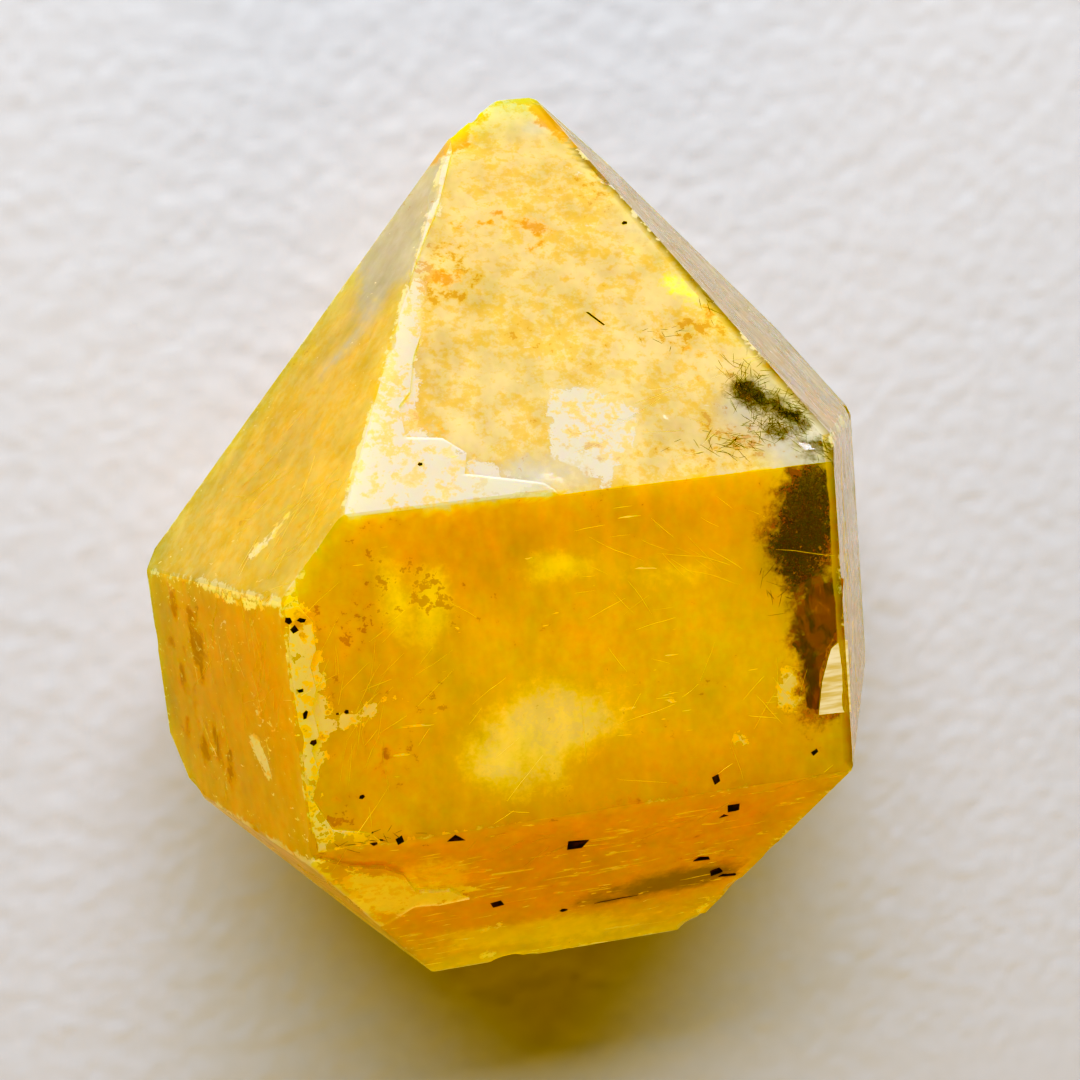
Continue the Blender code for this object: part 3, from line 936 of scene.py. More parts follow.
@dataclass
class MossInclusion:
    """The dark mossy growth at the right of the top face: thousands of grains and fine twigs."""

    skin: Skin
    seed: int = 5
    grain_mm: tuple[float, float] = (0.025, 0.085)
    twig_steps: int = 26
    twig_step_mm: float = 0.055
    twig_roots: tuple[float, float] = (0.35, 0.95)  # how far out of its tuft's middle a twig starts
    twig_lengths: tuple[float, float] = (0.25, 1.0)  # a twig's length over the longest
    twig_wander: float = 0.45
    twig_dive: float = 0.3
    twig_root_stray: float = 0.4
    twig_root_size: float = 1.35
    twig_taper: float = 0.8
    crowding: float = 0.48
    flatness: float = 0.7
    tone_stray: float = 0.22
    shallowest_mm: float = 0.01
    tufts: tuple[Tuft, ...] = (
        Tuft(TOP, 7.55, -0.75, 0.55, 0.95, 1.05, 0.40, 2600, 110, 0.05),
        Tuft(TOP, 6.95, -1.35, 0.45, 0.50, 0.55, 0.25, 450, 60, 0.10),
        Tuft(TOP, 8.35, -0.10, 0.60, 0.70, 0.80, 0.40, 1200, 40, 0.15),
        Tuft(TOP, 8.10, 0.85, 0.60, 0.95, 0.60, 0.35, 1500, 50, 0.45),
        Tuft(TOP, 8.55, 1.50, 0.50, 0.70, 0.45, 0.30, 800, 30, 0.70),
        Tuft(TIP_SLOPE, 8.20, -2.30, 0.22, 0.80, 0.60, 0.15, 520, 90, 0.15),
        Tuft(TIP_SLOPE, 7.75, -1.30, 0.18, 0.65, 0.75, 0.12, 560, 110, 0.15),
        Tuft(TIP_SLOPE, 7.15, -0.75, 0.14, 0.50, 0.80, 0.10, 320, 80, 0.20),
        Tuft(TIP_SLOPE, 6.60, -0.95, 0.25, 0.35, 0.25, 0.10, 150, 26, 0.40),
        Tuft(TIP_SLOPE, 7.20, -2.55, 0.30, 0.50, 0.20, 0.10, 170, 26, 0.45),
        Tuft(TIP_SLOPE, 7.55, -0.45, 0.20, 0.35, 0.30, 0.12, 260, 40, 0.15),
        Tuft(TIP_SLOPE, 7.95, -1.75, 0.20, 0.40, 0.35, 0.12, 320, 40, 0.10),
        Tuft(TIP_SLOPE, 8.60, -2.85, 0.20, 0.40, 0.15, 0.10, 200, 20, 0.05),
        Tuft(TIP_SLOPE, 8.75, -3.55, 0.40, 0.45, 0.45, 0.20, 320, 20, 0.55),
    )

    def build(self) -> bpy.types.Object:
        """Grows every tuft and joins them in one piece."""
        chance = np.random.default_rng(self.seed)
        middles: list[Points] = []
        sizes: list[float] = []
        tones: list[float] = []
        for tuft in self.tufts:
            for place, size in [*self._clump(tuft, chance), *self._twigs(tuft, chance)]:
                across, climb, depth = place
                middles.append(self.skin.point(tuft.face, across, climb, max(depth, self.shallowest_mm)))
                sizes.append(size * MM)
                tones.append(tuft.tone + chance.uniform(-self.tone_stray, self.tone_stray))
        axes = loose_axes(chance, np.array(sizes), self.flatness)
        return add_piece("moss_inclusion", grain_mesh("moss", np.array(middles), axes, np.array(tones)))

    def _clump(self, tuft: Tuft, chance: np.random.Generator) -> list[tuple[Points, float]]:
        """The tuft's crowded middle: places on the face with depths, and grain sizes."""
        spread = chance.normal(size=(tuft.grains, 3)) * (tuft.wide, tuft.tall, tuft.deep) * self.crowding
        places = spread + (tuft.across, tuft.climb, tuft.depth)
        return [(place, chance.uniform(*self.grain_mm)) for place in places]

    def _twigs(self, tuft: Tuft, chance: np.random.Generator) -> list[tuple[Points, float]]:
        """Fine crooked twigs that grow outwards from the clump."""
        made = []
        for _ in range(tuft.twigs):
            way = chance.uniform(0.0, math.tau)
            start = chance.uniform(*self.twig_roots)
            place = np.array((tuft.across + math.cos(way) * tuft.wide * start,
                              tuft.climb + math.sin(way) * tuft.tall * start,
                              tuft.depth + chance.normal() * tuft.deep * self.twig_root_stray))
            steps = int(chance.uniform(*self.twig_lengths) * self.twig_steps)
            for step in range(steps):
                way += chance.normal() * self.twig_wander
                ahead = np.array((math.cos(way), math.sin(way), chance.normal() * self.twig_dive))
                place = place + ahead * self.twig_step_mm
                size = self.grain_mm[0] * (self.twig_root_size - self.twig_taper * step / steps)
                made.append((place, size))
        return made


@dataclass(frozen=True)
class MossFinish(Finish):
    """Black mossy oxide that passes into grey-green clay, with golden specks."""

    name = "moss"
    black: Colour = (0.012, 0.009, 0.004)
    olive: Colour = (0.040, 0.034, 0.012)
    green: Colour = (0.20, 0.20, 0.12)
    speck: Colour = (0.55, 0.30, 0.04)

    def shaders(self, graph: Graph) -> Values:
        """Black to green by each grain's own tone."""
        tone = graph.field("tone")
        colour = graph.mix(graph.step(tone, 0.05, 0.45), self.black, self.olive)
        colour = graph.mix(graph.step(tone, 0.45, 0.85), colour, self.green)
        specks = graph.noise(graph.millimetres(), 0.22, detail=1.0)
        colour = graph.mix(graph.step(specks, 0.70, 0.76), colour, self.speck)
        return {"Surface": graph.principled(colour, 0.6 + specks * 0.3)}


def turn_of(outline: Points) -> float:
    """Twice the area inside an outline, positive where it runs anticlockwise."""
    across, climb = outline.T
    return float(across @ np.roll(climb, -1) - climb @ np.roll(across, -1))


SLAB_SPLITS = 6
SLAB_STRAYS = ((1.1, 1.0), (3.7, 0.4))  # how fine each stray is, per millimetre, and its strength
SLAB_LEAST_DEPTH = 0.05
SLAB_SHARP_FROM = 50.0  # degrees between two faces of a slab from which their edge looks sharp
STRAY_OFFSETS = (0.0, 37.2, -51.9)  # where the noise is read for each part of a stray


def stray_of(point: Points, fineness: float) -> list[float]:
    """A smooth stray from about -1 to 1 in each direction."""
    return [noise.noise(Vector(point) * fineness + Vector((offset, 0.0, offset))) for offset in STRAY_OFFSETS]


@dataclass(frozen=True)
class Slab:
    """A thin cornered slab sunk in a face: its outline and depths in millimetres."""

    face: FaceName
    outline: Line
    top: float
    thickness: float
    uneven: float = 0.0
    finest: float = 0.2

    def shape(self, skin: Skin) -> tuple[Points, Points]:
        """The slab's closed shape.

        Args:
            skin: The surface that it is sunk in.

        Returns:
            Its points in metres and its triangles.
        """
        across, climb = np.mean(self.outline, axis=0)
        middle = skin.point(self.face, across, climb, 0.0)
        face = skin.faces[self.face]
        points, corners = self._prism()
        if self.uneven:
            for _ in range(SLAB_SPLITS):
                points, corners = split_long_edges(points, corners, self.finest)
            points = self._rough(points)
        points = points - (across, climb, 0.0)
        placed = middle + (points @ np.array((face.across, face.climb, face.outward))) * MM
        return placed, corners

    def _prism(self) -> tuple[Points, Points]:
        """The slab's points on its face and its triangles, before any unevenness."""
        outline = np.array(self.outline)
        if turn_of(outline) < 0.0:
            outline = outline[::-1]
        count = len(outline)
        lid = np.array(tessellate_polygon([[Vector((*corner, 0.0)) for corner in outline]]))
        lid = np.array([three if turn_of(outline[three]) > 0.0 else three[::-1] for three in lid])
        here = np.arange(count)
        ahead = np.roll(here, -1)
        sides = [np.stack(three, axis=1) for three in (
            (here, ahead, ahead + count), (here, ahead + count, here + count))]
        depths = np.repeat((-self.top - self.thickness, -self.top), count)
        points = np.column_stack((np.tile(outline, (2, 1)), depths))
        return points, np.vstack((lid[:, ::-1], lid + count, *sides))

    def _rough(self, points: Points) -> Points:
        """Strays the points a little, but never up through the surface."""
        moved = points.copy()
        for fineness, strength in SLAB_STRAYS:
            strays = np.array([stray_of(point, fineness) for point in points])
            moved += strays * strength * self.uneven
        moved[:, 2] = np.minimum(moved[:, 2], -min(self.top, SLAB_LEAST_DEPTH))
        return moved


CLAY_SLABS = (
    Slab(TOP, ((7.2, -2.4), (7.9, -1.8), (8.8, -1.3), (9.2, -2.0), (9.0, -3.3), (8.4, -4.2), (8.15, -5.0),
               (8.05, -6.2), (7.8, -6.3), (7.75, -5.0), (7.6, -4.3), (7.2, -3.6)), 0.12, 0.9, 0.16),
)
PALE_SLABS = (
    Slab(TOP, ((8.55, -4.2), (8.9, -3.95), (9.15, -4.0), (9.12, -6.5), (7.95, -6.45), (8.15, -5.3)),
         -0.01, 0.12),
)


def slab_piece(name: str, slabs: Sequence[Slab], skin: Skin) -> bpy.types.Object:
    """Joins slabs in one piece."""
    points: list[Points] = []
    corners: list[Points] = []
    for slab in slabs:
        placed, triangles = slab.shape(skin)
        corners.append(triangles + sum(len(each) for each in points))
        points.append(placed)
    mesh = new_mesh(name, np.vstack(points), np.vstack(corners))
    mesh.shade_smooth()
    mesh.set_sharp_from_angle(angle=math.radians(SLAB_SHARP_FROM))
    return add_piece(name, mesh)


@dataclass(frozen=True)
class ClayFinish(Finish):
    """Translucent brown clay with a dark fold."""

    name = "clay"
    light: Colour = (0.28, 0.075, 0.010)
    dark: Colour = (0.03, 0.008, 0.003)
    flame: Colour = (0.75, 0.28, 0.02)

    def shaders(self, graph: Graph) -> Values:
        """Dark folds between brown and orange ones."""
        folds = graph.noise(graph.millimetres(), 1.1, detail=3.0, bend=1.2, stretch=(0.6, 1.6, 0.8))
        colour = graph.mix(graph.step(folds, 0.38, 0.55), self.dark, self.light)
        colour = graph.mix(graph.step(folds, 0.62, 0.74), colour, self.flame)
        return {"Surface": graph.principled(colour, 0.35 + folds * 0.3)}


@dataclass(frozen=True)
class PaleFinish(Finish):
    """Cream fibrous film, paler along its fibres."""

    name = "pale_film"
    cream: Colour = (0.62, 0.42, 0.15)
    white: Colour = (0.82, 0.68, 0.40)

    def shaders(self, graph: Graph) -> Values:
        """Cream and white fibres."""
        fibres = graph.noise(graph.millimetres(), 0.5, detail=3.0, stretch=(3.0, 0.35, 1.0))
        colour = graph.mix(graph.step(fibres, 0.35, 0.65), self.cream, self.white)
        return {"Surface": graph.principled(colour, 0.3 + fibres * 0.3)}


@dataclass(frozen=True)
class ScratchFinish(Finish):
    """Pale crushed quartz that the light inside the crystal shines through."""

    name = "crushed_quartz"
    pale: Colour = (1.0, 0.92, 0.50)
    warm: Colour = (1.0, 0.72, 0.20)
    glow: Colour = (1.0, 0.84, 0.36)
    lets_through: float = 0.65

    def shaders(self, graph: Graph) -> Values:
        """Pale and warm crumbs, with light that comes through them."""
        crumbs = graph.noise(graph.millimetres(), 0.8, detail=1.0)
        colour = graph.mix(graph.step(crumbs, 0.35, 0.60), self.pale, self.warm)
        dull = graph.principled(colour, 0.5 + crumbs * 0.2)
        glowing = graph.add("ShaderNodeBsdfTranslucent", sockets={"Color": self.glow})
        surface = graph.add("ShaderNodeMixShader", sockets={0: self.lets_through, 1: dull, 2: glowing})
        return {"Surface": surface}


@dataclass(frozen=True)
class IronFinish(Finish):
    """Near-black iron mineral with a red-brown edge."""

    name = "iron"
    black: Colour = (0.004, 0.003, 0.002)
    brown: Colour = (0.05, 0.012, 0.004)

    def shaders(self, graph: Graph) -> Values:
        """Black with brown patches, and no shine."""
        patches = graph.noise(graph.millimetres(), 0.4, detail=3.0)
        colour = graph.mix(graph.step(patches, 0.50, 0.75), self.black, self.brown)
        return {"Surface": graph.principled(colour, 0.6 + patches * 0.3, {"Specular IOR Level": 0.0})}


CORNER_STRAY = 0.2  # how far a fleck's corners stray round it, over the way from one to the next
CORNER_REACH = (1.2, 1.6)  # how far out they are, over the fleck's half size


def chip_outline(across: float, climb: float, wide: float, tall: float, lean: float,
                 corners: int, chance: random.Random) -> Line:
    """A small uneven cornered outline.

    Args:
        across: Its middle across the face.
        climb: Its middle up the face.
        wide: Half its width.
        tall: Half its height.
        lean: Its lean in degrees.
        corners: How many corners it has.
        chance: Where its unevenness comes from.

    Returns:
        Its corners in order, in millimetres.
    """
    made = []
    turned = math.radians(lean)
    for number in range(corners):
        stray = chance.uniform(-CORNER_STRAY, CORNER_STRAY)
        angle = math.tau * (number + stray) / corners + math.pi / corners
        along = math.cos(angle) * wide * chance.uniform(*CORNER_REACH)
        over = math.sin(angle) * tall * chance.uniform(*CORNER_REACH)
        made.append((across + along * math.cos(turned) - over * math.sin(turned),
                     climb + along * math.sin(turned) + over * math.cos(turned)))
    return tuple(made)


@dataclass
class IronFlecks:
    """Small dark plates of iron mineral, flush with the faces."""

    skin: Skin
    seed: int = 21
    proud_mm: float = 0.012
    thickness_mm: float = 0.07
    # by face: across, climb, half width, half height, lean, corners
    flecks: tuple[tuple[FaceName, tuple[tuple[float, float, float, float, float, int], ...]], ...] = (
        (BUTT_SLOPE, (
            (-0.60, -3.35, 0.36, 0.28, -4, 4), (-4.85, -1.60, 0.22, 0.26, 20, 3),
            (-3.33, -7.10, 0.24, 0.20, 18, 4), (4.43, -6.15, 0.26, 0.14, -6, 4),
            (5.25, -7.50, 0.24, 0.22, 30, 4), (4.95, -2.55, 0.24, 0.26, 12, 4),
            (4.72, -3.00, 0.14, 0.10, 40, 3), (-0.68, -8.70, 0.12, 0.12, 0, 5),
        )),
        (TOP, (
            (4.16, -8.15, 0.12, 0.16, 10, 4), (7.70, -7.75, 0.14, 0.06, 35, 4),
            (-9.35, -0.75, 0.09, 0.09, 10, 5), (-8.95, -0.80, 0.12, 0.06, -10, 5),
            (-9.20, -1.05, 0.11, 0.10, 35, 4), (-9.25, -3.05, 0.10, 0.05, 5, 4),
            (-9.20, -3.85, 0.06, 0.11, -20, 5), (-9.05, -4.80, 0.09, 0.07, 15, 5),
            (-7.90, -4.00, 0.06, 0.06, 0, 5), (-8.20, -4.02, 0.05, 0.03, 0, 4),
            (-7.75, -6.90, 0.07, 0.05, 20, 5),
        )),
        (BUTT_SLOPE, ((1.35, -8.42, 0.75, 0.03, 3, 4), (5.85, -7.95, 0.35, 0.10, -8, 4))),
        (TIP_SLOPE, (
            (2.60, 3.20, 0.50, 0.03, -55, 4), (4.80, 7.84, 0.10, 0.06, 0, 5),
            (-4.58, -2.23, 0.06, 0.06, 0, 5),
        )),
        (TOP, ((-6.70, -8.55, 0.16, 0.09, 20, 4), (-7.55, -8.45, 0.10, 0.08, 0, 5))),
    )

    def build(self) -> bpy.types.Object:
        """Lays every fleck in its place."""
        chance = random.Random(self.seed)
        slabs = [
            Slab(face, chip_outline(*fleck, chance), -self.proud_mm, self.thickness_mm)
            for face, flecks in self.flecks for fleck in flecks
        ]
        return slab_piece("iron_flecks", slabs, self.skin)


class ScratchField(NamedTuple):
    """Where scratches crowd on a face, in millimetres, and how they lie, in degrees."""

    face: FaceName
    across: float
    climb: float
    wide: float
    tall: float
    count: int
    lean: float
    unruly: float = 22.0


PALE_SCRATCHES = (
    ScratchField(TOP, -6.0, -3.4, 3.0, 3.2, 18, 36, 12.0),
    ScratchField(TOP, 3.5, 0.0, 3.6, 1.8, 20, -35, 14.0),
    ScratchField(TOP, 0.0, -3.5, 6.0, 5.0, 16, -20, 40.0),
    ScratchField(TOP, 6.5, -5.5, 1.8, 2.2, 10, 60, 40.0),
    ScratchField(TOP, -7.8, -5.5, 1.0, 2.8, 20, 70),
    ScratchField(BUTT_SLOPE, -3.5, -3.4, 4.4, 2.0, 16, 14, 30.0),
    ScratchField(BUTT_SLOPE, 4.0, -3.2, 3.4, 2.2, 8, 15, 30.0),
    ScratchField(LEFT, 0.8, -3.2, 1.8, 3.0, 30, 75),
    ScratchField(LEFT, -3.2, -4.5, 2.6, 3.4, 18, 80),
    ScratchField(TIP_LEFT, 1.6, -5.6, 1.6, 1.8, 30, 62),
    ScratchField(TIP_LEFT, -3.0, -4.6, 3.0, 2.0, 16, 50),
    ScratchField(TIP_SLOPE, 3.2, -1.0, 4.4, 2.2, 16, -8),
    ScratchField(RIGHT, 0.0, -3.0, 3.2, 4.0, 16, 75),
    ScratchField(BUTT_RIGHT, 0.0, -3.0, 3.0, 3.0, 16, 20),
    ScratchField(BUTT_LEFT, 0.0, -3.0, 3.0, 3.0, 16, 20),
)
DARK_NEEDLES = (
    ScratchField(TIP_SLOPE, 7.1, -0.9, 0.7, 1.3, 150, 60, 60.0),
    ScratchField(TIP_SLOPE, 8.2, -1.8, 0.8, 0.9, 110, -50, 50.0),
    ScratchField(TIP_SLOPE, 7.4, -2.3, 0.8, 0.6, 60, 20, 60.0),
    ScratchField(TIP_SLOPE, 8.9, -3.2, 0.5, 0.6, 24, -60, 30.0),
    ScratchField(TIP_SLOPE, 5.8, -2.7, 1.8, 0.6, 60, 0, 40.0),
    ScratchField(TIP_SLOPE, 4.6, 2.3, 1.4, 0.8, 12, -10, 50.0),
    ScratchField(TIP_SLOPE, 6.9, 3.4, 0.5, 1.0, 12, -50, 30.0),
    ScratchField(TOP, 6.6, -1.8, 0.5, 0.9, 14, 0, 60.0),
    ScratchField(TOP, -7.6, -8.3, 1.4, 0.2, 14, 0, 30.0),
)


@dataclass
class Scratches:
    """Fine hairlines on the faces: healed cracks, scuffs or dark needles."""

    skin: Skin
    name: str
    fields: tuple[ScratchField, ...]
    seed: int = 33
    width_mm: tuple[float, float] = (0.012, 0.040)
    proud_mm: float = 0.008
    step_mm: float = 0.35
    most_steps: int = 8
    fewest_steps: int = 2
    sunk_mm: float = 0.01
    crowding: float = 0.5
    wander: float = 0.05
    bluntness: float = 0.3

    def build(self) -> bpy.types.Object:
        """Draws every scratch as a thin raised line."""
        chance = random.Random(self.seed)
        points: list[Points] = []
        corners: list[tuple[int, int, int]] = []
        for field in self.fields:
            for _ in range(field.count):
                start = (chance.gauss(field.across, field.wide * self.crowding),
                         chance.gauss(field.climb, field.tall * self.crowding))
                way = math.radians(chance.gauss(field.lean, field.unruly))
                self._scratch(field.face, start, way, chance, points, corners)
        return add_piece(self.name, new_mesh(self.name, points, corners))

    def _scratch(self, face: FaceName, start: tuple[float, float], way: float, chance: random.Random,
                 points: list[Points], corners: list[tuple[int, int, int]]) -> None:
        """Adds one crooked scratch, three-sided in section and pointed at both ends."""
        across, climb = start
        steps = int(chance.triangular(self.fewest_steps, self.most_steps, self.fewest_steps))
        half = chance.uniform(*self.width_mm) / 2.0
        first = len(points)
        for step in range(steps + 1):
            swell = math.sin(math.pi * (step + self.bluntness) / (steps + 2.0 * self.bluntness)) * half
            for side in (1.0, -1.0):
                beside = (across - math.sin(way) * swell * side, climb + math.cos(way) * swell * side)
                points.append(self.skin.point(face, *beside, self.sunk_mm))
            points.append(self.skin.point(face, across, climb, -self.proud_mm))
            way += chance.gauss(0.0, self.wander)
            across += math.cos(way) * self.step_mm
            climb += math.sin(way) * self.step_mm
        for ring in range(first, len(points) - 3, 3):
            for side in range(3):
                near, far = ring + side, ring + (side + 1) % 3
                corners += [(near, far, near + 3), (far, far + 3, near + 3)]
        corners += [(first, first + 2, first + 1), (len(points) - 3, len(points) - 2, len(points) - 1)]


@dataclass(frozen=True)
class Veil:
    """A wispy sheet of golden flakes: under a face, in millimetres."""

    face: FaceName
    across: float
    climb: float
    depth: float
    wide: float
    tall: float
    lean: float
    flakes: int
    tone: float


@dataclass
class GoldVeils:
    """Sheets of fine golden and milky flakes that hang inside the crystal."""

    skin: Skin
    seed: int = 8
    flake_mm: tuple[float, float] = (0.03, 0.14)
    flatness: float = 0.12
    spread: Triple = (0.5, 0.5, 0.12)
    wisp_fineness: float = 2.2
    wisp_mm: float = 0.9
    wisp_tone: float = 0.5
    least_depth_mm: float = 0.12
    veils: tuple[Veil, ...] = (
        Veil(TOP, -2.0, -5.8, 0.7, 2.6, 1.5, 8, 1500, 0.9),
        Veil(TOP, -5.3, -0.6, 1.0, 1.6, 1.2, 20, 700, 0.6),
        Veil(TOP, 2.6, -0.9, 1.8, 3.6, 1.4, -14, 900, 0.5),
        Veil(TOP, -1.0, -2.5, 3.2, 6.0, 3.0, 10, 1300, 0.3),
        Veil(TOP, 4.2, -5.6, 2.2, 3.0, 2.2, -12, 800, 0.4),
        Veil(TIP_SLOPE, 0.5, 3.0, 1.2, 4.4, 5.0, 6, 1700, 0.6),
        Veil(TIP_SLOPE, 2.5, -0.8, 0.6, 2.2, 1.6, 0, 700, 0.9),
        Veil(TIP_LEFT, -1.5, 0.0, 1.4, 3.4, 6.0, 14, 1500, 0.5),
        Veil(BUTT_SLOPE, -1.0, -5.8, 1.0, 5.0, 3.2, 8, 1300, 0.4),
        Veil(LEFT, -2.5, -4.5, 1.0, 3.6, 3.2, 4, 1000, 0.3),
        Veil(RIGHT, 0.0, -3.5, 1.5, 4.0, 4.0, 6, 900, 0.5),
    )

    def build(self) -> bpy.types.Object:
        """Scatters the flakes of every veil."""
        chance = np.random.default_rng(self.seed)
        middles: list[Points] = []
        tones: list[float] = []
        for veil in self.veils:
            tilt = math.tan(math.radians(veil.lean))
            spread = chance.normal(size=(veil.flakes, 3)) * self.spread
            for across, climb, lift in spread:
                fine = self.wisp_fineness
                wisp = noise.noise(Vector((across * fine, climb * fine, veil.depth + veil.across)))
                depth = veil.depth + lift + across * veil.wide * tilt + wisp * self.wisp_mm
                place = (veil.across + across * veil.wide, veil.climb + climb * veil.tall)
                middles.append(self.skin.point(veil.face, *place, max(depth, self.least_depth_mm)))
                tones.append(veil.tone + wisp * self.wisp_tone)
        points = np.array(middles)
        kept = self.skin.faces.depths(points).min(axis=0) > self.least_depth_mm
        sizes = chance.uniform(*self.flake_mm, size=int(kept.sum())) * MM
        axes = loose_axes(chance, sizes, self.flatness)
        return add_piece("gold_veils", grain_mesh("gold_veils", points[kept], axes, np.array(tones)[kept]))


@dataclass(frozen=True)
class VeilFinish(Finish):
    """Flakes that pass from honey gold to milky cream."""

    name = "veil_flakes"
    gold: Colour = (0.90, 0.46, 0.03)
    yellow: Colour = (0.95, 0.72, 0.14)
    milk: Colour = (0.95, 0.86, 0.55)

    def shaders(self, graph: Graph) -> Values:
        """Gold to milk by each flake's own tone."""
        tone = graph.field("tone")
        colour = graph.mix(graph.step(tone, 0.1, 0.6), self.gold, self.yellow)
        colour = graph.mix(graph.step(tone, 0.6, 1.1), colour, self.milk)
        return {"Surface": graph.principled(colour, 0.25 + graph.step(tone, 0.0, 1.0) * 0.3)}


# ------------------------------------------------------------------ studio
@dataclass(frozen=True)
class PaperFinish(Finish):
    """Heavy white paper."""

    name = "paper"
    valley: Colour = (0.57, 0.575, 0.585)
    crest: Colour = (0.60, 0.605, 0.615)

    def shaders(self, graph: Graph) -> Values:
        """Barely uneven white."""
        fibres = graph.noise(graph.millimetres(), 0.9, detail=0.0)
        return {"Surface": graph.principled(graph.mix(fibres, self.valley, self.crest), 0.8)}


@dataclass(frozen=True)
class PaperFloor:
    """The rough white paper that the crystal lies on."""

    half_side: float = 0.35
    near_side: float = 0.040
    step_mm: float = 0.26
    bump_mm: float = 0.85
    bump_height_mm: float = 0.050
    fade: float = 0.010

    def build(self) -> bpy.types.Object:
        """Makes the floor, with its small soft bumps where it is seen from close by."""
        near = np.arange(-self.near_side, self.near_side, self.step_mm * MM)
        line = np.concatenate(((-self.half_side,), near, (self.near_side, self.half_side)))
        across, along = np.meshgrid(line, line)
        points = np.stack((across.ravel(), along.ravel(), np.zeros(across.size)), axis=1)
        inside = self.near_side - np.abs(points[:, :2]).max(axis=1)
        inner = inside > 0.0
        relief = fractal(points[inner], self.bump_mm, octaves=2, shift=21.0)
        strength = np.clip(inside[inner] / self.fade, 0.0, 1.0)
        points[inner, 2] = (relief - relief.max()) * strength * self.bump_height_mm * MM
        count = len(line)
        first = (np.arange(count - 1)[:, None] * count + np.arange(count - 1)).reshape(-1)
        corners = np.stack((first, first + 1, first + count + 1, first + count), axis=1)
        mesh = new_mesh("floor", points, corners)
        mesh.shade_smooth()
        mesh.materials.append(PaperFinish().material())
        floor = bpy.data.objects.new("floor", mesh)
        bpy.context.scene.collection.objects.link(floor)
        return floor


@dataclass(frozen=True)
class SoftRoom:
    """A dim room with a pale skyline all round."""

    skyline: Colour = (0.34, 0.35, 0.37)
    ceiling: Colour = (0.015, 0.015, 0.018)
    skyline_top: tuple[float, float] = (0.08, 0.30)  # sine of the height where it fades

    def build(self) -> None:
        """Lights the scene from all round."""
        world = bpy.data.worlds.new("soft_room")
        world.use_nodes = True
        bpy.context.scene.world = world
        graph = Graph(world.node_tree)
        way = graph.add("ShaderNodeTexCoord", output=0)
        light = graph.mix(graph.step(graph.part(way, 2), *self.skyline_top), self.skyline, self.ceiling)
        background = graph.add("ShaderNodeBackground", sockets={"Color": light, "Strength": 1.0})
        graph.add("ShaderNodeOutputWorld", sockets={"Surface": background})


@dataclass(frozen=True)
class Lamp:
    """A soft rectangular light that faces the crystal."""

    name: str
    place: Vector
    wide: float
    tall: float
    colour: Colour
    watts: float

    def build(self) -> None:
        """Hangs the lamp where the camera doesn't see it."""
        data = bpy.data.lights.new(self.name, "AREA")
        data.shape = "RECTANGLE"
        data.size = self.wide
        data.size_y = self.tall
        data.color = self.colour
        data.energy = self.watts
        lamp = bpy.data.objects.new(self.name, data)
        lamp.location = self.place
        lamp.rotation_euler = (-self.place).to_track_quat("-Z", "Y").to_euler()
        lamp.visible_camera = False
        bpy.context.scene.collection.objects.link(lamp)


def sky_point(bearing: float, height: float, away: float) -> Vector:
    """The point at this bearing and height in degrees, this far from the crystal."""
    turned = math.radians(bearing)
    raised = math.radians(height)
    level = math.cos(raised)
    return Vector((math.sin(turned) * level, math.cos(turned) * level, math.sin(raised))) * away


LAMPS = (
    # a low window beyond the tip
    Lamp("window", sky_point(-2.0, 36.0, 0.40), 0.39, 0.133, (0.97, 0.98, 1.0), 3.3),
    # a golden card beyond the butt, which throws the window's light back
    Lamp("bounce_card", Vector((0.0, -0.300, 0.056)), 0.176, 0.176, (1.0, 0.56, 0.12), 0.80),
)
NEEDLE_BROWN: Colour = (0.10, 0.045, 0.006)  # the dark needles' edges
MOST_BOUNCES = 6  # how often the light may bounce or pass through a surface


@dataclass(frozen=True)
class PictureTone:
    """A warm, vivid print: the weakest blues are held back."""

    blues: tuple[tuple[float, float], ...] = ((0.08, 0.004), (0.135, 0.04), (0.30, 0.22), (0.60, 0.60))
    greens: tuple[tuple[float, float], ...] = ((0.10, 0.085), (0.30, 0.29), (0.60, 0.60))

    def apply(self) -> None:
        """Sets the scene's colour management."""
        settings = bpy.context.scene.view_settings
        settings.view_transform = "Standard"
        settings.use_curve_mapping = True
        curves = settings.curve_mapping.curves
        for curve, stops in ((curves[1], self.greens), (curves[2], self.blues)):
            for place, level in stops:
                curve.points.new(place, level)
        settings.curve_mapping.update()


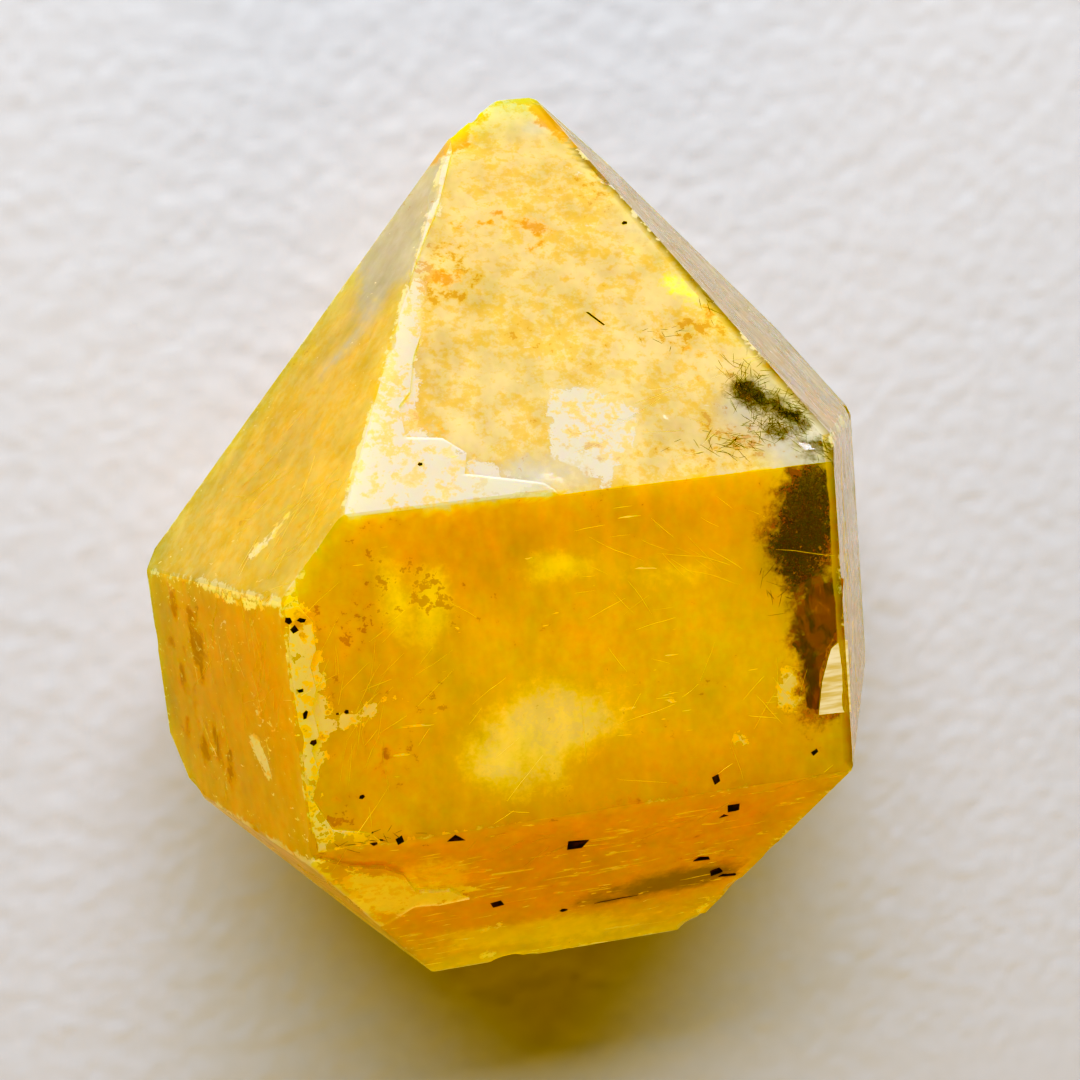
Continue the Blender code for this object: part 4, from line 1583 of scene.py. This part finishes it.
@dataclass(frozen=True)
class CloseCamera:
    """A phone held close over the crystal."""

    place: Triple = (-0.00716, 0.00650, 0.05126)
    ahead: Triple = (0.112, -0.1203, -0.9864)
    up: Triple = (0.1194, 0.9871, -0.1068)
    lens: float = 34.89
    sensor_mm: float = 36.0
    shift: tuple[float, float] = (0.0715, -0.0402)
    nearest: float = 0.001
    farthest: float = 10.0

    def build(self) -> bpy.types.Object:
        """Makes the scene's camera."""
        data = bpy.data.cameras.new("camera")
        data.lens = self.lens
        data.sensor_width = self.sensor_mm
        data.shift_x, data.shift_y = self.shift
        data.clip_start = self.nearest
        data.clip_end = self.farthest
        camera = bpy.data.objects.new("camera", data)
        back = -Vector(self.ahead).normalized()
        right = Vector(self.up).cross(back).normalized()
        turned = Matrix((right, back.cross(right), back)).transposed()
        camera.matrix_world = Matrix.Translation(self.place) @ turned.to_4x4()
        bpy.context.scene.collection.objects.link(camera)
        bpy.context.scene.camera = camera
        return camera


def main() -> None:
    """Builds the crystal and its plain studio."""
    logging.basicConfig(level=logging.INFO, format="%(name)s: %(message)s")
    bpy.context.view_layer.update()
    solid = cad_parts[CRYSTAL_NODE]
    faces = FaceSet(mesh_points(solid.data))
    body = CrystalBody(faces).build(solid)
    settle_piece(body, QuartzFinish().material())
    skin = Skin(faces, body)
    settle_piece(MossInclusion(skin).build(), MossFinish().material())
    settle_piece(slab_piece("clay_wedge", CLAY_SLABS, skin), ClayFinish().material())
    settle_piece(slab_piece("pale_films", PALE_SLABS, skin), PaleFinish().material())
    settle_piece(Scratches(skin, "scratches", PALE_SCRATCHES).build(), ScratchFinish().material())
    needles = Scratches(skin, "dark_needles", DARK_NEEDLES, seed=34, width_mm=(0.024, 0.062),
                        proud_mm=0.006, step_mm=0.13, most_steps=7)
    settle_piece(needles.build(), IronFinish(brown=NEEDLE_BROWN).material())
    settle_piece(IronFlecks(skin).build(), IronFinish().material())
    settle_piece(GoldVeils(skin).build(), VeilFinish().material())
    PaperFloor().build()
    SoftRoom().build()
    CloseCamera().build()
    for lamp in LAMPS:
        lamp.build()
    cycles = bpy.context.scene.cycles
    cycles.max_bounces = cycles.transmission_bounces = MOST_BOUNCES
    PictureTone().apply()


if __name__ == "__main__":
    main()
